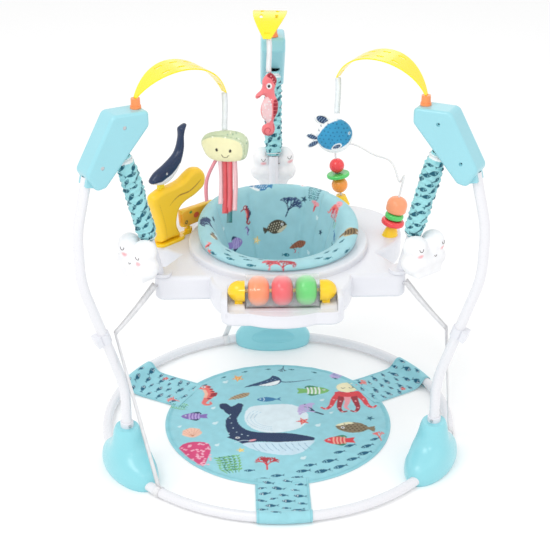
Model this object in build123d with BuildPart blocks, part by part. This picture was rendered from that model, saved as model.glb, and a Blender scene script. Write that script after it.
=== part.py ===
from build123d import *
import os
from math import cos, sin, radians, degrees

os.makedirs("parts", exist_ok=True)

# Activity jumper, millimetres, Z up, floor at z = 0, the front faces -Y.
# Three legs stand on a floor ring and carry three spring towers.  The tray
# hangs from them and holds a seat that turns, a bead drum and small toys.

# floor ring
ring_r = 400.0
ring_z = 14.0
tube_r = 11.0
tube_wall = 1.5
slip = 0.05
foot_half_angle = 11.3

# legs, as radius and height in the upright plane of each leg
leg_low = (390.0, 60.0)
leg_knee = (390.0, 218.0)
leg_joint = (432.2, 352.0)
leg_hip = (475.0, 488.0)
leg_shoulder = (476.0, 600.0)
leg_top = (447.0, 716.0)
leg_bend = 250.0

# towers and springs
tower_half = 28.0
tower_wall = 3.0
spring_top = (364.0, 740.0)
spring_low = (317.0, 549.0)
ferrule_r = 333.0
ferrule_z = 840.0

# tray
tray_top_z = 462.0
tray_split_z = 434.0
tray_bottom_z = 406.0
lobe_r = 152.0
lobe_centre = 150.0
corner_reach = 305.0
corner_round = 20.0
seat_hole_r = 172.0
collar_r = 198.0
collar_z = 476.0

# seat
pad_r = 177.0
pad_bottom = 476.5
pad_mid_top = 512.0
pad_slope = 7.7
# the bucket's inside: height, radius and how far its centre sits back
bucket_rows = [(316.0, 92.0, 0.0), (430.0, 112.0, 2.0), (485.0, 131.0, 10.0), (560.0, 152.0, 18.0)]

# bead drum, lying along X at the front of the tray
drum_y = -241.0
drum_z = 467.0
drum_r = 35.0
drum_half = 76.0
axle_r = 4.0

legs = [("back", 90.0), ("left", 210.0), ("right", 330.0)]
lobes = [30.0, 150.0, 270.0]


def polar(radius, angle, z=0.0):
    return Vector(radius * cos(radians(angle)), radius * sin(radians(angle)), z)


def upright(angle):
    # the upright plane through the Z axis: x is the radius, y is the height
    c = cos(radians(angle))
    s = sin(radians(angle))
    return Plane(origin=(0, 0, 0), x_dir=(c, s, 0), z_dir=(s, -c, 0))


def across(point, direction, side):
    # a plane at a point, square to a direction, with x along side
    return Plane(origin=point, x_dir=side, z_dir=direction)


def save(part, name):
    part.label = name
    export_step(part, f"parts/{name}.step")


side0 = Vector(0, 1, 0)

# ------------------------------------------------------------- floor ring
tube_names = [("front", 210.0), ("right", 330.0), ("left", 90.0)]
for name, start in tube_names:
    a0 = start + foot_half_angle
    with BuildPart() as base_tube:
        with BuildSketch(upright(a0)):
            with Locations((ring_r, ring_z)):
                Circle(tube_r)
                Circle(tube_r - tube_wall, mode=Mode.SUBTRACT)
        revolve(axis=Axis.Z, revolution_arc=120.0 - 2 * foot_half_angle)
    save(base_tube.part, f"base_tube_{name}")

# ------------------------------------------------------------------- feet
foot_rows = [
    (0.0, 388.0, 94.0, 46.0),
    (8.0, 388.0, 97.0, 49.0),
    (28.0, 388.0, 96.0, 49.0),
    (44.0, 388.5, 84.0, 46.0),
    (60.0, 389.0, 58.0, 41.0),
    (80.0, 389.5, 39.0, 35.0),
    (104.0, 390.0, 33.0, 30.0),
    (118.0, 390.0, 27.0, 25.0),
]
collar_low = 112.0
collar_top = 130.0
collar_screw_z = 124.0
# the cross screw of each collar faces the front
screw_sides = {"back": 1, "left": 1, "right": -1}


def leg_collar(side):
    with BuildPart() as made:
        with BuildSketch(Plane.XY.offset(collar_low)):
            with Locations((390.0, 0)):
                Circle(14.5)
                Circle(tube_r + slip, mode=Mode.SUBTRACT)
        extrude(amount=collar_top - collar_low)
        fillet(made.edges().group_by(Axis.Z)[-1].sort_by(SortBy.LENGTH)[-1], radius=1.5)
        with BuildSketch(Plane.XZ):
            with Locations((390.0, collar_screw_z)):
                Circle(2.05)
        extrude(amount=-20.0 * side, mode=Mode.SUBTRACT)
    return made.part


with BuildPart() as foot0:
    for z, r, a, b in foot_rows:
        with BuildSketch(Plane.XY.offset(z)):
            with Locations((r, 0)):
                Ellipse(b, a)
    loft()
    # bores for the ring tubes and the leg
    with BuildSketch(upright(11.0)):
        with Locations((ring_r, ring_z)):
            Circle(tube_r + slip)
    revolve(axis=Axis.Z, revolution_arc=13.0, mode=Mode.SUBTRACT)
    with BuildSketch(upright(-24.0)):
        with Locations((ring_r, ring_z)):
            Circle(tube_r + slip)
    revolve(axis=Axis.Z, revolution_arc=13.0, mode=Mode.SUBTRACT)
    with BuildSketch(Plane.XY.offset(leg_low[1] - 0.5)):
        with Locations((leg_low[0], 0)):
            Circle(tube_r + slip)
    extrude(amount=100.0, mode=Mode.SUBTRACT)
    # long shallow scoop above the lip of the inner face
    with BuildSketch(Plane(origin=(0, 0, 0), x_dir=(1, 0, 0), z_dir=(0, 1, 0))):
        with Locations(Location((334.0, -50.0, 0.0), (0, 0, -12.0))):
            Ellipse(17.0, 26.0)
    extrude(amount=62.0, both=True, mode=Mode.SUBTRACT)
    # seat for the collar
    with BuildSketch(Plane.XY.offset(collar_low)):
        with Locations((390.0, 0)):
            Circle(14.5)
    extrude(amount=20.0, mode=Mode.SUBTRACT)

for name, angle in legs:
    with BuildPart() as foot:
        add(foot0.part, rotation=(0, 0, angle))
    save(foot.part, f"foot_{name}")

with BuildPart() as leg_brackets:
    for name, angle in legs:
        add(leg_collar(screw_sides[name]), rotation=(0, 0, angle))
save(leg_brackets.part, "leg_brackets")

# ------------------------------------------------------------------- legs
along = Vector(leg_hip[0] - leg_knee[0], 0, leg_hip[1] - leg_knee[1]).normalized()
joint_point = Vector(leg_joint[0], 0, leg_joint[1])

with BuildPart() as lower0:
    with BuildLine(Plane.XZ) as low_path:
        FilletPolyline(leg_low, leg_knee, leg_joint, radius=leg_bend)
    with BuildSketch(Plane.XY.offset(leg_low[1])):
        with Locations((leg_low[0], 0)):
            Circle(tube_r)
            Circle(tube_r - tube_wall, mode=Mode.SUBTRACT)
    sweep()
    with BuildSketch(across(joint_point - along * 8.0, along, side0)):
        Circle(tube_r - 0.7)
    extrude(amount=7.9)
    with BuildSketch(across(joint_point - along * 1.0, along, side0)):
        Circle(tube_r - tube_wall - slip)
    extrude(amount=35.0)
    with BuildSketch(across(joint_point - along * 20.0, along, side0)):
        Circle(8.0)
    extrude(amount=60.0, mode=Mode.SUBTRACT)

with BuildPart() as upper0:
    with BuildLine(Plane.XZ) as high_path:
        FilletPolyline(leg_joint, leg_hip, leg_shoulder, leg_top, radius=leg_bend)
    with BuildSketch(across(joint_point, along, side0)):
        Circle(tube_r)
        Circle(tube_r - tube_wall, mode=Mode.SUBTRACT)
    sweep()

for name, angle in legs:
    with BuildPart() as lower_leg:
        add(lower0.part, rotation=(0, 0, angle))
    save(lower_leg.part, f"lower_leg_{name}")
    with BuildPart() as upper_leg:
        add(upper0.part, rotation=(0, 0, angle))
    save(upper_leg.part, f"upper_leg_{name}")

# strap clips at the leg joints, each with a lug toward the tray
with BuildPart() as clip0:
    with BuildSketch(across(joint_point - along * 14.0, along, side0)):
        Circle(tube_r + 3.0)
        with Locations((0, -16.0)):
            Rectangle(26.0, 12.0)
    extrude(amount=24.0)
    fillet(clip0.edges().filter_by(GeomType.LINE).group_by(Axis.X)[0], radius=1.5)
    with BuildSketch(across(joint_point - along * 20.0, along, side0)):
        Circle(tube_r + slip)
    extrude(amount=40.0, mode=Mode.SUBTRACT)
with BuildPart() as strap_clips:
    for name, angle in legs:
        add(clip0.part, rotation=(0, 0, angle))
save(strap_clips.part, "strap_clips")

# ----------------------------------------------------------------- towers
tower_points = [
    ((317.0, 806.0), 14.0),
    ((317.0, 838.0), 9.0),
    ((396.0, 840.0), 16.0),
    ((460.0, 727.0), 15.0),
    ((438.0, 690.0), 12.0),
    ((417.0, 694.0), 10.0),
]


def rounded_outline(points):
    # a closed outline with one arc at every corner
    n = len(points)
    ends = []
    for i in range(n):
        p = Vector(*points[i][0])
        a = (Vector(*points[i - 1][0]) - p).normalized()
        b = (Vector(*points[(i + 1) % n][0]) - p).normalized()
        half = radians(a.get_angle(b)) / 2
        d = points[i][1] * cos(half) / sin(half)
        mid = (a + b).normalized()
        reach = points[i][1] / sin(half) - points[i][1]
        ends.append((p + a * d, p + mid * reach, p + b * d))
    for i in range(n):
        ThreePointArc(ends[i][0], ends[i][1], ends[i][2])
        Line(ends[i][2], ends[(i + 1) % n][0])


spring_dir = Vector(spring_low[0] - spring_top[0], 0, spring_low[1] - spring_top[1]).normalized()
spring_start = Vector(spring_top[0], 0, spring_top[1])
screw_spots = [(372.0, 812.0), (424.0, 738.0)]

with BuildPart() as leg_bore:
    with BuildLine(Plane.XZ):
        FilletPolyline(leg_joint, leg_hip, leg_shoulder, leg_top, radius=leg_bend)
    with BuildSketch(across(joint_point, along, side0)):
        Circle(tube_r + slip)
    sweep()

# one half shell at azimuth 0, on the +Y side of the split
with BuildPart() as shell0:
    with BuildSketch(Plane.XZ):
        with BuildLine():
            rounded_outline(tower_points)
        make_face()
    extrude(amount=-tower_half)
    fillet(shell0.faces().sort_by(Axis.Y)[-1].edges(), radius=7.0)
    with BuildSketch(Plane.XZ) as hollow_sketch:
        with BuildLine():
            rounded_outline(tower_points)
        make_face()
        offset(amount=-tower_wall, mode=Mode.REPLACE)
    extrude(amount=-(tower_half - tower_wall - 1.0), mode=Mode.SUBTRACT)
    # bosses for the two screws and a pad that grips the leg and the spring
    with BuildSketch(Plane.XZ):
        with Locations(*screw_spots):
            Circle(5.0)
    extrude(amount=-(tower_half - 2.0))
    with BuildSketch(Plane(origin=(447.0, 0, 698.0), x_dir=(0, 1, 0), z_dir=(-0.2425, 0, 0.9701))):
        with Locations((9.0, 0)):
            Rectangle(18.0, 22.0)
    extrude(amount=19.0)
    add(leg_bore.part, mode=Mode.SUBTRACT)
    with BuildSketch(Plane.XZ):
        with Locations(*screw_spots):
            Circle(2.05)
    extrude(amount=-40.0, mode=Mode.SUBTRACT)
    with BuildSketch(Plane.XZ.offset(-(tower_half - 3.2))):
        with Locations(*screw_spots):
            Circle(4.2)
    extrude(amount=-10.0, mode=Mode.SUBTRACT)
    # the spring's cover leaves through the lower face, the ferrule through the top
    with BuildSketch(across(spring_start - spring_dir * 12.0, spring_dir, side0)):
        Circle(17.0)
    extrude(amount=60.0, mode=Mode.SUBTRACT)
    with BuildSketch(Plane.XY.offset(826.0)):
        with Locations((ferrule_r, 0)):
            Circle(6.0)
    extrude(amount=30.0, mode=Mode.SUBTRACT)
    split(bisect_by=Plane.XZ, keep=Keep.BOTTOM)

with BuildPart() as shell1:
    mirror(shell0.part, about=Plane.XZ)

for name, angle in legs:
    with BuildPart() as tower_a:
        add(shell0.part, rotation=(0, 0, angle))
    save(tower_a.part, f"tower_{name}_shell_a")
    with BuildPart() as tower_b:
        add(shell1.part, rotation=(0, 0, angle))
    save(tower_b.part, f"tower_{name}_shell_b")

# ---------------------------------------------------------------- screws
with BuildPart() as frame_screws:
    for name, angle in legs:
        turn = Rotation(0, 0, angle)
        for r, z in screw_spots:
            spot = turn * Location((r, tower_half - 3.2, z), (90, 0, 0))
            with Locations(spot):
                Cylinder(2.0, 22.0, align=(Align.CENTER, Align.CENTER, Align.MIN))
                Cylinder(4.0, 2.4, align=(Align.CENTER, Align.CENTER, Align.MAX))
        side = screw_sides[name]
        spot = turn * Location((390.0, 14.55 * side, collar_screw_z), (90 * side, 0, 0))
        with Locations(spot):
            Cylinder(1.95, 3.3, align=(Align.CENTER, Align.CENTER, Align.MIN))
            Cylinder(3.6, 1.8, align=(Align.CENTER, Align.CENTER, Align.MAX))
save(frame_screws.part, "frame_screws")

# ------------------------------------------------- ferrules and crescents
ferrule_rows = [
    (828.0, ferrule_z, 5.9, 5.9),
    (ferrule_z - 1.2, ferrule_z + 4.0, 11.5, 11.0),
    (ferrule_z + 4.0, ferrule_z + 19.0, 9.8, 9.2),
]
with BuildPart() as ferrule0:
    for low, high, r_low, r_high in ferrule_rows:
        with BuildSketch(Plane.XY.offset(low)):
            with Locations((ferrule_r, 0)):
                Circle(r_low)
        with BuildSketch(Plane.XY.offset(high)):
            with Locations((ferrule_r, 0)):
                Circle(r_high)
        loft()
    with BuildSketch(Plane.XY.offset(ferrule_z + 3.0)):
        with Locations((ferrule_r, 0)):
            Rectangle(3.1, 8.1)
    extrude(amount=30.0, mode=Mode.SUBTRACT)

# each crescent bends a little differently: crest, tip and turn about its ferrule
crescent_shapes = {
    "back": ((245.0, 921.0), (146.0, 887.0), -6.0),
    "left": ((235.0, 911.0), (131.0, 838.0), 0.0),
    "right": ((236.0, 928.0), (139.0, 869.0), 0.0),
}


def about_ferrule(turn):
    return Location((ferrule_r, 0, 0)) * Rotation(0, 0, turn) * Location((-ferrule_r, 0, 0))


with BuildPart() as ferrules:
    for name, angle in legs:
        add(about_ferrule(crescent_shapes[name][2]) * ferrule0.part, rotation=(0, 0, angle))
save(ferrules.part, "ferrules")

root = (ferrule_r, ferrule_z + 21.0)
for name, angle in legs:
    crest, tip, yaw = crescent_shapes[name]
    with BuildPart() as crescent:
        with BuildSketch(Plane.XZ):
            with BuildLine():
                ThreePointArc(root, crest, tip)
                offset(amount=1.4, side=Side.BOTH)
            make_face()
        extrude(amount=60.0, both=True)
        with BuildSketch(Plane.XY.offset(780.0)) as leaf:
            with BuildLine():
                ThreePointArc((root[0] + 2.0, 4.0), (243.0, 38.0), (tip[0] + 1.0, 9.0))
                ThreePointArc((tip[0] + 1.0, 9.0), (tip[0] - 6.0, 0), (tip[0] + 1.0, -9.0))
                ThreePointArc((tip[0] + 1.0, -9.0), (243.0, -38.0), (root[0] + 2.0, -4.0))
                Line((root[0] + 2.0, -4.0), (root[0] + 2.0, 4.0))
            make_face()
        extrude(amount=200.0, mode=Mode.INTERSECT)
        # four cut-outs on each side of the rib and the slot for the ribbon
        with BuildSketch(Plane.XY.offset(780.0)):
            for x in (205.0, 238.0, 271.0):
                with Locations((x, 17.0), (x, -17.0)):
                    SlotCenterToCenter(10.0, 7.0)
            with Locations((tip[0] + 9.0, 0)):
                Rectangle(3.0, 13.4)
        extrude(amount=200.0, mode=Mode.SUBTRACT)
        with BuildSketch(Plane.XY.offset(ferrule_z + 3.4)):
            with Locations((ferrule_r, 0)):
                Rectangle(3.0, 8.0)
        extrude(amount=18.6)
    with BuildPart() as crescent_placed:
        add(about_ferrule(yaw) * crescent.part, rotation=(0, 0, angle))
    save(crescent_placed.part, f"crescent_{name}")

# --------------------------------------------------- springs and gaiters
span = Vector(spring_low[0] - spring_top[0], 0, spring_low[1] - spring_top[1]).length
with BuildPart() as spring0:
    with BuildSketch(across(spring_start, spring_dir, side0)):
        Circle(11.0)
        Circle(8.0, mode=Mode.SUBTRACT)
    extrude(amount=span)
with BuildPart() as springs:
    for name, angle in legs:
        add(spring0.part, rotation=(0, 0, angle))
save(springs.part, "springs")

with BuildPart() as gaiter0:
    with BuildSketch(across(spring_start + spring_dir * 4.0, spring_dir, side0)):
        Circle(15.0)
    with BuildSketch(across(spring_start + spring_dir * 28.0, spring_dir, side0)):
        Circle(20.0)
    with BuildSketch(across(spring_start + spring_dir * (span - 26.0), spring_dir, side0)):
        Circle(20.0)
    with BuildSketch(across(spring_start + spring_dir * (span - 2.0), spring_dir, side0)):
        Circle(14.0)
    loft(ruled=True)
    with BuildSketch(across(spring_start, spring_dir, side0)):
        Circle(11.5)
    extrude(amount=span, mode=Mode.SUBTRACT)
with BuildPart() as gaiters:
    for name, angle in legs:
        add(gaiter0.part, rotation=(0, 0, angle))
save(gaiters.part, "gaiters")

# ------------------------------------------------------------------- mat
mat_r = 266.0
mat_t = 3.0
flap_half = 59.0
flap_angle = degrees(flap_half / ring_r)
with BuildPart() as play_mat:
    with BuildSketch():
        Circle(mat_r)
    extrude(amount=mat_t)
    for angle in lobes:
        with BuildSketch(Plane.XY.offset(0.5)):
            with Locations((polar((mat_r + ring_r - 6.0) / 2 - 5.0, angle).X,
                            polar((mat_r + ring_r - 6.0) / 2 - 5.0, angle).Y)):
                Rectangle(ring_r - mat_r + 4.0, 2 * flap_half, rotation=angle)
        extrude(amount=2.2)
        with BuildSketch(upright(angle - flap_angle)):
            with Locations((ring_r, ring_z)):
                Circle(tube_r + 2.6)
                Circle(tube_r + 0.3, mode=Mode.SUBTRACT)
        revolve(axis=Axis.Z, revolution_arc=2 * flap_angle)
save(play_mat.part, "play_mat")

# --------------------------------------------------------------- tethers
knee = Vector(405.0, 0, 353.0)
wall_point = Vector(corner_reach + 1.5, 0, 442.0)
with BuildPart() as tether0:
    first = knee - wall_point
    with BuildSketch(across(wall_point, first, side0)):
        Rectangle(24.0, 1.6)
    extrude(amount=first.length + 0.4)
    end = polar(ring_r, 18.0, ring_z + tube_r + 1.0)
    second = end - knee
    with BuildSketch(across(knee, second, side0)):
        Rectangle(14.0, 1.6)
    extrude(amount=second.length)
    with BuildSketch(upright(17.0)):
        with Locations((ring_r, ring_z)):
            Circle(tube_r + 1.9)
            Circle(tube_r + 0.3, mode=Mode.SUBTRACT)
    revolve(axis=Axis.Z, revolution_arc=2.0)
    with BuildSketch(upright(15.5)):
        with Locations((ring_r, ring_z)):
            Circle(tube_r + 0.3)
    revolve(axis=Axis.Z, revolution_arc=5.0, mode=Mode.SUBTRACT)
with BuildPart() as tethers:
    for name, angle in legs:
        add(tether0.part, rotation=(0, 0, angle))
save(tethers.part, "tethers")

# ------------------------------------------------------------------ tray


def tray_outline(grow):
    # three round lobes joined to a triangle with round corners
    for a in lobes:
        with Locations((polar(lobe_centre, a).X, polar(lobe_centre, a).Y)):
            Circle(lobe_r + grow)
    with BuildSketch(mode=Mode.PRIVATE) as triangle:
        RegularPolygon(radius=corner_reach - corner_round, side_count=3, rotation=90.0)
        offset(amount=corner_round + grow)
    add(triangle.sketch)
    # squarer front that carries the drum
    with Locations((0, drum_y - 2.0)):
        RectangleRounded(256.0 + 2 * grow, 86.0 + 2 * grow, 30.0 + grow)


well_half = 113.0
well_depth_z = 428.0
well_front = drum_y - 37.5
well_back = drum_y + 37.5
lip_z = tray_split_z + 4.0

with BuildPart() as tray_top:
    with BuildSketch(Plane.XY.offset(tray_split_z)):
        tray_outline(0.0)
    extrude(amount=tray_top_z - tray_split_z)
    top_edges = tray_top.faces().sort_by(Axis.Z)[-1].outer_wire().edges()
    fillet(top_edges, radius=9.0)
    with BuildSketch(Plane.XY.offset(tray_split_z)):
        Circle(collar_r)
    extrude(amount=collar_z - tray_split_z)
    ring_edge = tray_top.edges().group_by(Axis.Z)[-1]
    fillet(ring_edge, radius=5.0)
    # hollow underneath
    with BuildSketch(Plane.XY.offset(tray_split_z)):
        tray_outline(-4.0)
    extrude(amount=tray_top_z - tray_split_z - 5.0, mode=Mode.SUBTRACT)
    with BuildSketch(Plane.XY.offset(tray_split_z)):
        Circle(seat_hole_r + 3.0)
    extrude(amount=30.0)
    # walls and floor of the drum's well
    with BuildSketch(Plane.XY.offset(well_depth_z - 3.0)):
        with Locations((0, drum_y)):
            Rectangle(2 * well_half + 6.0, well_back - well_front + 5.0)
        Circle(seat_hole_r + 3.0, mode=Mode.SUBTRACT)
    extrude(amount=28.0)
    with BuildSketch(Plane.XY.offset(well_depth_z)):
        with Locations((0, drum_y)):
            Rectangle(2 * well_half, well_back - well_front)
        Circle(seat_hole_r + 4.5, mode=Mode.SUBTRACT)
    extrude(amount=60.0, mode=Mode.SUBTRACT)
    # the wall in front of the drum is cut down to a low lip
    with BuildSketch(Plane.XY.offset(tray_split_z)):
        tray_outline(0.0)
        with Locations((0, well_front - 20.0)):
            Rectangle(2 * well_half + 6.0, 44.0, mode=Mode.INTERSECT)
    extrude(amount=lip_z - tray_split_z)
    with BuildSketch(Plane.XY.offset(tray_split_z)):
        tray_outline(-2.0)
        with Locations((-well_half - 1.5, well_front - 17.0), (well_half + 1.5, well_front - 17.0)):
            Rectangle(3.0, 44.0, mode=Mode.INTERSECT)
    extrude(amount=24.0)
    with BuildSketch(Plane.XY.offset(lip_z)):
        with Locations((0, well_front - 20.0)):
            Rectangle(2 * well_half, 44.0)
    extrude(amount=60.0, mode=Mode.SUBTRACT)
    with BuildSketch(Plane.XY.offset(400.0)):
        Circle(seat_hole_r)
    extrude(amount=100.0, mode=Mode.SUBTRACT)
save(tray_top.part, "tray_top")

with BuildPart() as tray_base:
    with BuildSketch(Plane.XY.offset(tray_bottom_z)):
        tray_outline(-0.5)
    extrude(amount=tray_split_z - tray_bottom_z)
    low_edges = tray_base.faces().sort_by(Axis.Z)[0].outer_wire().edges()
    fillet(low_edges, radius=9.0)
    with BuildSketch(Plane.XY.offset(tray_bottom_z + 3.0)):
        tray_outline(-12.0)
    extrude(amount=40.0, mode=Mode.SUBTRACT)
    with BuildSketch(Plane.XY.offset(tray_bottom_z)):
        Circle(seat_hole_r + 3.0)
    extrude(amount=tray_split_z - tray_bottom_z)
    with BuildSketch(Plane.XY.offset(well_depth_z - 3.0)):
        with Locations((0, drum_y)):
            Rectangle(2 * well_half + 6.6, well_back - well_front + 5.6)
    extrude(amount=28.0, mode=Mode.SUBTRACT)
    with BuildSketch(Plane.XY.offset(400.0)):
        Circle(seat_hole_r)
    extrude(amount=100.0, mode=Mode.SUBTRACT)
save(tray_base.part, "tray_base")

# posts that take the lower spring ends
post_foot = spring_start + spring_dir * (span + (spring_low[1] - tray_top_z) / -spring_dir.Z)
with BuildPart() as anchor0:
    with BuildSketch(Plane.XY.offset(tray_top_z)):
        with Locations((post_foot.X - 6.0, 0)):
            Ellipse(20.0, 22.0)
    extrude(amount=7.0)
    low_end = Vector(spring_low[0], 0, spring_low[1])
    with BuildSketch(across(low_end + spring_dir * 0.4, spring_dir, side0)):
        Circle(11.0)
    extrude(amount=84.0)
with BuildPart() as anchor_cut:
    add(anchor0.part)
    split(bisect_by=Plane.XY.offset(tray_top_z), keep=Keep.TOP)
with BuildPart() as spring_anchors:
    for name, angle in legs:
        add(anchor_cut.part, rotation=(0, 0, angle))
save(spring_anchors.part, "spring_anchors")

# cloud covers: a two-lobed saddle round each post
with BuildPart() as gaiter_room:
    with BuildSketch(across(low_end - spring_dir * 60.0, spring_dir, side0)):
        Circle(21.5)
    extrude(amount=62.0)
cloud_shapes = {"back": (0.0, 345.0), "left": (-48.0, 345.0), "right": (36.0, 345.0)}
for name, angle in legs:
    turn, reach = cloud_shapes[name]
    centre = polar(reach, angle)
    with BuildPart() as cloud:
        with Locations(Location((centre.X, centre.Y, 502.0), (0, 0, turn))):
            with Locations((-25.0, 0, 34.0), (25.0, 0, 34.0)):
                Sphere(26.0)
            with Locations((-31.0, 0, 0), (31.0, 0, 0)):
                Sphere(25.0)
            Cylinder(26.0, 62.0, rotation=(0, 90, 0))
            with Locations((0, 0, -12.0)):
                Box(70.0, 44.0, 40.0)
        add(anchor_cut.part, rotation=(0, 0, angle), mode=Mode.SUBTRACT)
        add(gaiter_room.part, rotation=(0, 0, angle), mode=Mode.SUBTRACT)
        split(bisect_by=Plane.XY.offset(tray_top_z + 0.2), keep=Keep.TOP)
    save(cloud.part, f"cloud_{name}")

# ------------------------------------------------------------------ seat
with BuildPart() as seat_ring:
    with BuildSketch(Plane.XY.offset(440.0)):
        Circle(seat_hole_r - 0.5)
        Circle(150.0, mode=Mode.SUBTRACT)
    extrude(amount=pad_bottom - 440.0)
save(seat_ring.part, "seat_ring")

with BuildPart() as seat_bucket:
    with BuildSketch(Plane.XY.offset(pad_bottom)):
        Circle(pad_r)
    extrude(amount=80.0)
    tilt_plane = Plane(origin=(0, 0, pad_mid_top), x_dir=(1, 0, 0),
                       z_dir=(0, -sin(radians(pad_slope)), cos(radians(pad_slope))))
    split(bisect_by=tilt_plane, keep=Keep.BOTTOM)
    rim = seat_bucket.faces().sort_by(Axis.Z)[-1].outer_wire().edges()
    fillet(rim, radius=7.0)
    with BuildSketch(Plane.XZ):
        with BuildLine():
            Polyline((0, 306.0), (100.0, 306.0), (127.0, 440.0), (149.8, 456.0),
                     (149.8, pad_bottom + 1.0), (0, pad_bottom + 1.0), (0, 306.0))
        make_face()
    revolve(axis=Axis.Z)
    # the inside widens upward and leans toward the high back
    for low, high in zip(bucket_rows, bucket_rows[1:]):
        for z, radius, back in (low, high):
            with BuildSketch(Plane.XY.offset(z)):
                with Locations((0, back)):
                    Circle(radius)
        loft(mode=Mode.SUBTRACT)
    with BuildSketch(Plane.XY.offset(290.0)):
        with Locations((50.0, 0), (-50.0, 0)):
            RectangleRounded(56.0, 108.0, 20.0)
    extrude(amount=60.0, mode=Mode.SUBTRACT)
save(seat_bucket.part, "seat_bucket")

# ------------------------------------------------------------- bead drum
with BuildPart() as drum_caps:
    for side in (-1, 1):
        with BuildSketch(Plane.XZ.offset(-drum_y)):
            with BuildLine():
                inner = side * (drum_half + 1.0)
                outer = side * (well_half - 0.2)
                belly = side * (drum_half + 12.0)
                Line((inner, drum_z), (inner, drum_z + 22.0))
                Line((inner, drum_z + 22.0), (belly, drum_z + 22.0))
                ThreePointArc((belly, drum_z + 22.0), (side * (well_half - 7.2), drum_z + 14.8),
                              (outer, drum_z))
                Line((outer, drum_z), (inner, drum_z))
            make_face()
        revolve(axis=Axis((0, drum_y, drum_z), (1, 0, 0)))
        with Locations((side * (drum_half + 14.0), drum_y, well_depth_z)):
            Box(16.0, 26.0, 24.0, align=(Align.CENTER, Align.CENTER, Align.MIN))
    with Locations(Location((-drum_half - 1.5, drum_y, drum_z), (0, 90, 0))):
        Cylinder(axle_r, 2 * drum_half + 1.5, align=(Align.CENTER, Align.CENTER, Align.MIN))
save(drum_caps.part, "drum_caps")

with BuildPart() as drum:
    with Locations(Location((0, drum_y, drum_z), (0, 90, 0))):
        Cylinder(drum_r, 2 * drum_half)
        Cylinder(drum_r - 2.0, 2 * drum_half - 5.0, mode=Mode.SUBTRACT)
        Cylinder(axle_r + 0.05, 400.0, mode=Mode.SUBTRACT)
save(drum.part, "drum")

bead_names = [("orange", -49.0), ("red", 0.0), ("green", 49.0)]
for name, x in bead_names:
    with BuildPart() as bead:
        with Locations(Location((x, drum_y, drum_z), (0, 90, 0))):
            Cylinder(31.5, 44.0)
        fillet(bead.edges().filter_by(GeomType.CIRCLE), radius=20.0)
        with Locations(Location((x, drum_y, drum_z), (0, 90, 0))):
            Cylinder(axle_r + 0.08, 60.0, mode=Mode.SUBTRACT)
    save(bead.part, f"drum_bead_{name}")

# ------------------------------------------------- wire arch and its beads
wire_r = 2.4
maze_foot = Vector(160.0, 224.0, tray_top_z + 2.0)
maze_dir = Vector(-17.0, 6.0, 111.0).normalized()
maze_top = maze_foot + maze_dir * 116.0
stack_foot = Vector(253.0, 41.0, tray_top_z + 2.0)
stack_dir = Vector(17.0, 0, 87.0).normalized()
stack_top = stack_foot + stack_dir * 97.0
arch = [(148.0, 222.0, 606.0), (186.0, 178.0, 626.0), (228.0, 125.0, 620.0), (263.0, 82.0, 608.0),
        (275.5, 54.0, 587.0)]
with BuildPart() as bead_wire:
    with BuildLine() as wire_path:
        Line(maze_foot, maze_top)
        Spline(maze_top, *arch, stack_top, tangents=[maze_dir, stack_dir * -1.0])
        Line(stack_top, stack_foot)
    with BuildSketch(across(maze_foot, maze_dir, Vector(1, 0, 0))):
        Circle(wire_r)
    sweep()
save(bead_wire.part, "bead_wire")

with BuildPart() as wire_sockets:
    for foot_point, lean in ((maze_foot, maze_dir), (stack_foot, stack_dir)):
        with BuildSketch(Plane.XY.offset(tray_top_z)):
            with Locations((foot_point.X, foot_point.Y)):
                Circle(18.0)
        top_point = foot_point + lean * 22.0
        with BuildSketch(Plane(origin=(top_point.X, top_point.Y, tray_top_z + 22.0))):
            Circle(11.0)
        loft()
    for foot_point, lean in ((maze_foot, maze_dir), (stack_foot, stack_dir)):
        with BuildSketch(across(foot_point - lean * 0.5, lean, Vector(0, 1, 0))):
            Circle(wire_r + slip)
        extrude(amount=40.0, mode=Mode.SUBTRACT)
save(wire_sockets.part, "wire_sockets")


def on_line(foot_point, lean, height):
    return Plane(origin=foot_point + lean * height, x_dir=(0, 1, 0), z_dir=lean)


bore_r = wire_r + 0.1
with BuildPart() as maze_ball:
    with BuildSketch(on_line(maze_foot, maze_dir, 26.0)):
        Circle(9.0)
    with Locations(Location(on_line(maze_foot, maze_dir, 46.0))):
        Sphere(19.0)
    with BuildSketch(on_line(maze_foot, maze_dir, 0.0)):
        Circle(bore_r)
    extrude(amount=130.0, mode=Mode.SUBTRACT)
save(maze_ball.part, "maze_ball")

with BuildPart() as maze_disc:
    with BuildSketch(on_line(maze_foot, maze_dir, 66.5)):
        Circle(27.0)
    extrude(amount=9.0)
    fillet(maze_disc.edges(), radius=3.5)
    with BuildSketch(on_line(maze_foot, maze_dir, 0.0)):
        Circle(bore_r)
    extrude(amount=130.0, mode=Mode.SUBTRACT)
save(maze_disc.part, "maze_disc")

with BuildPart() as maze_apple:
    with Locations(Location(on_line(maze_foot, maze_dir, 94.0))):
        Sphere(17.6)
    with BuildSketch(on_line(maze_foot, maze_dir, 0.0)):
        Circle(bore_r)
    extrude(amount=130.0, mode=Mode.SUBTRACT)
save(maze_apple.part, "maze_apple")

stack_rows = [("burger_tomato", 23.0, 14.0, 26.0, 6.0), ("burger_lettuce", 38.0, 14.0, 21.0, 6.0)]
for name, low, thick, radius, edge in stack_rows:
    with BuildPart() as slice_part:
        with BuildSketch(on_line(stack_foot, stack_dir, low)):
            Circle(radius)
        extrude(amount=thick)
        fillet(slice_part.edges(), radius=edge)
        with BuildSketch(on_line(stack_foot, stack_dir, 0.0)):
            Circle(bore_r)
        extrude(amount=130.0, mode=Mode.SUBTRACT)
    save(slice_part.part, name)

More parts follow.
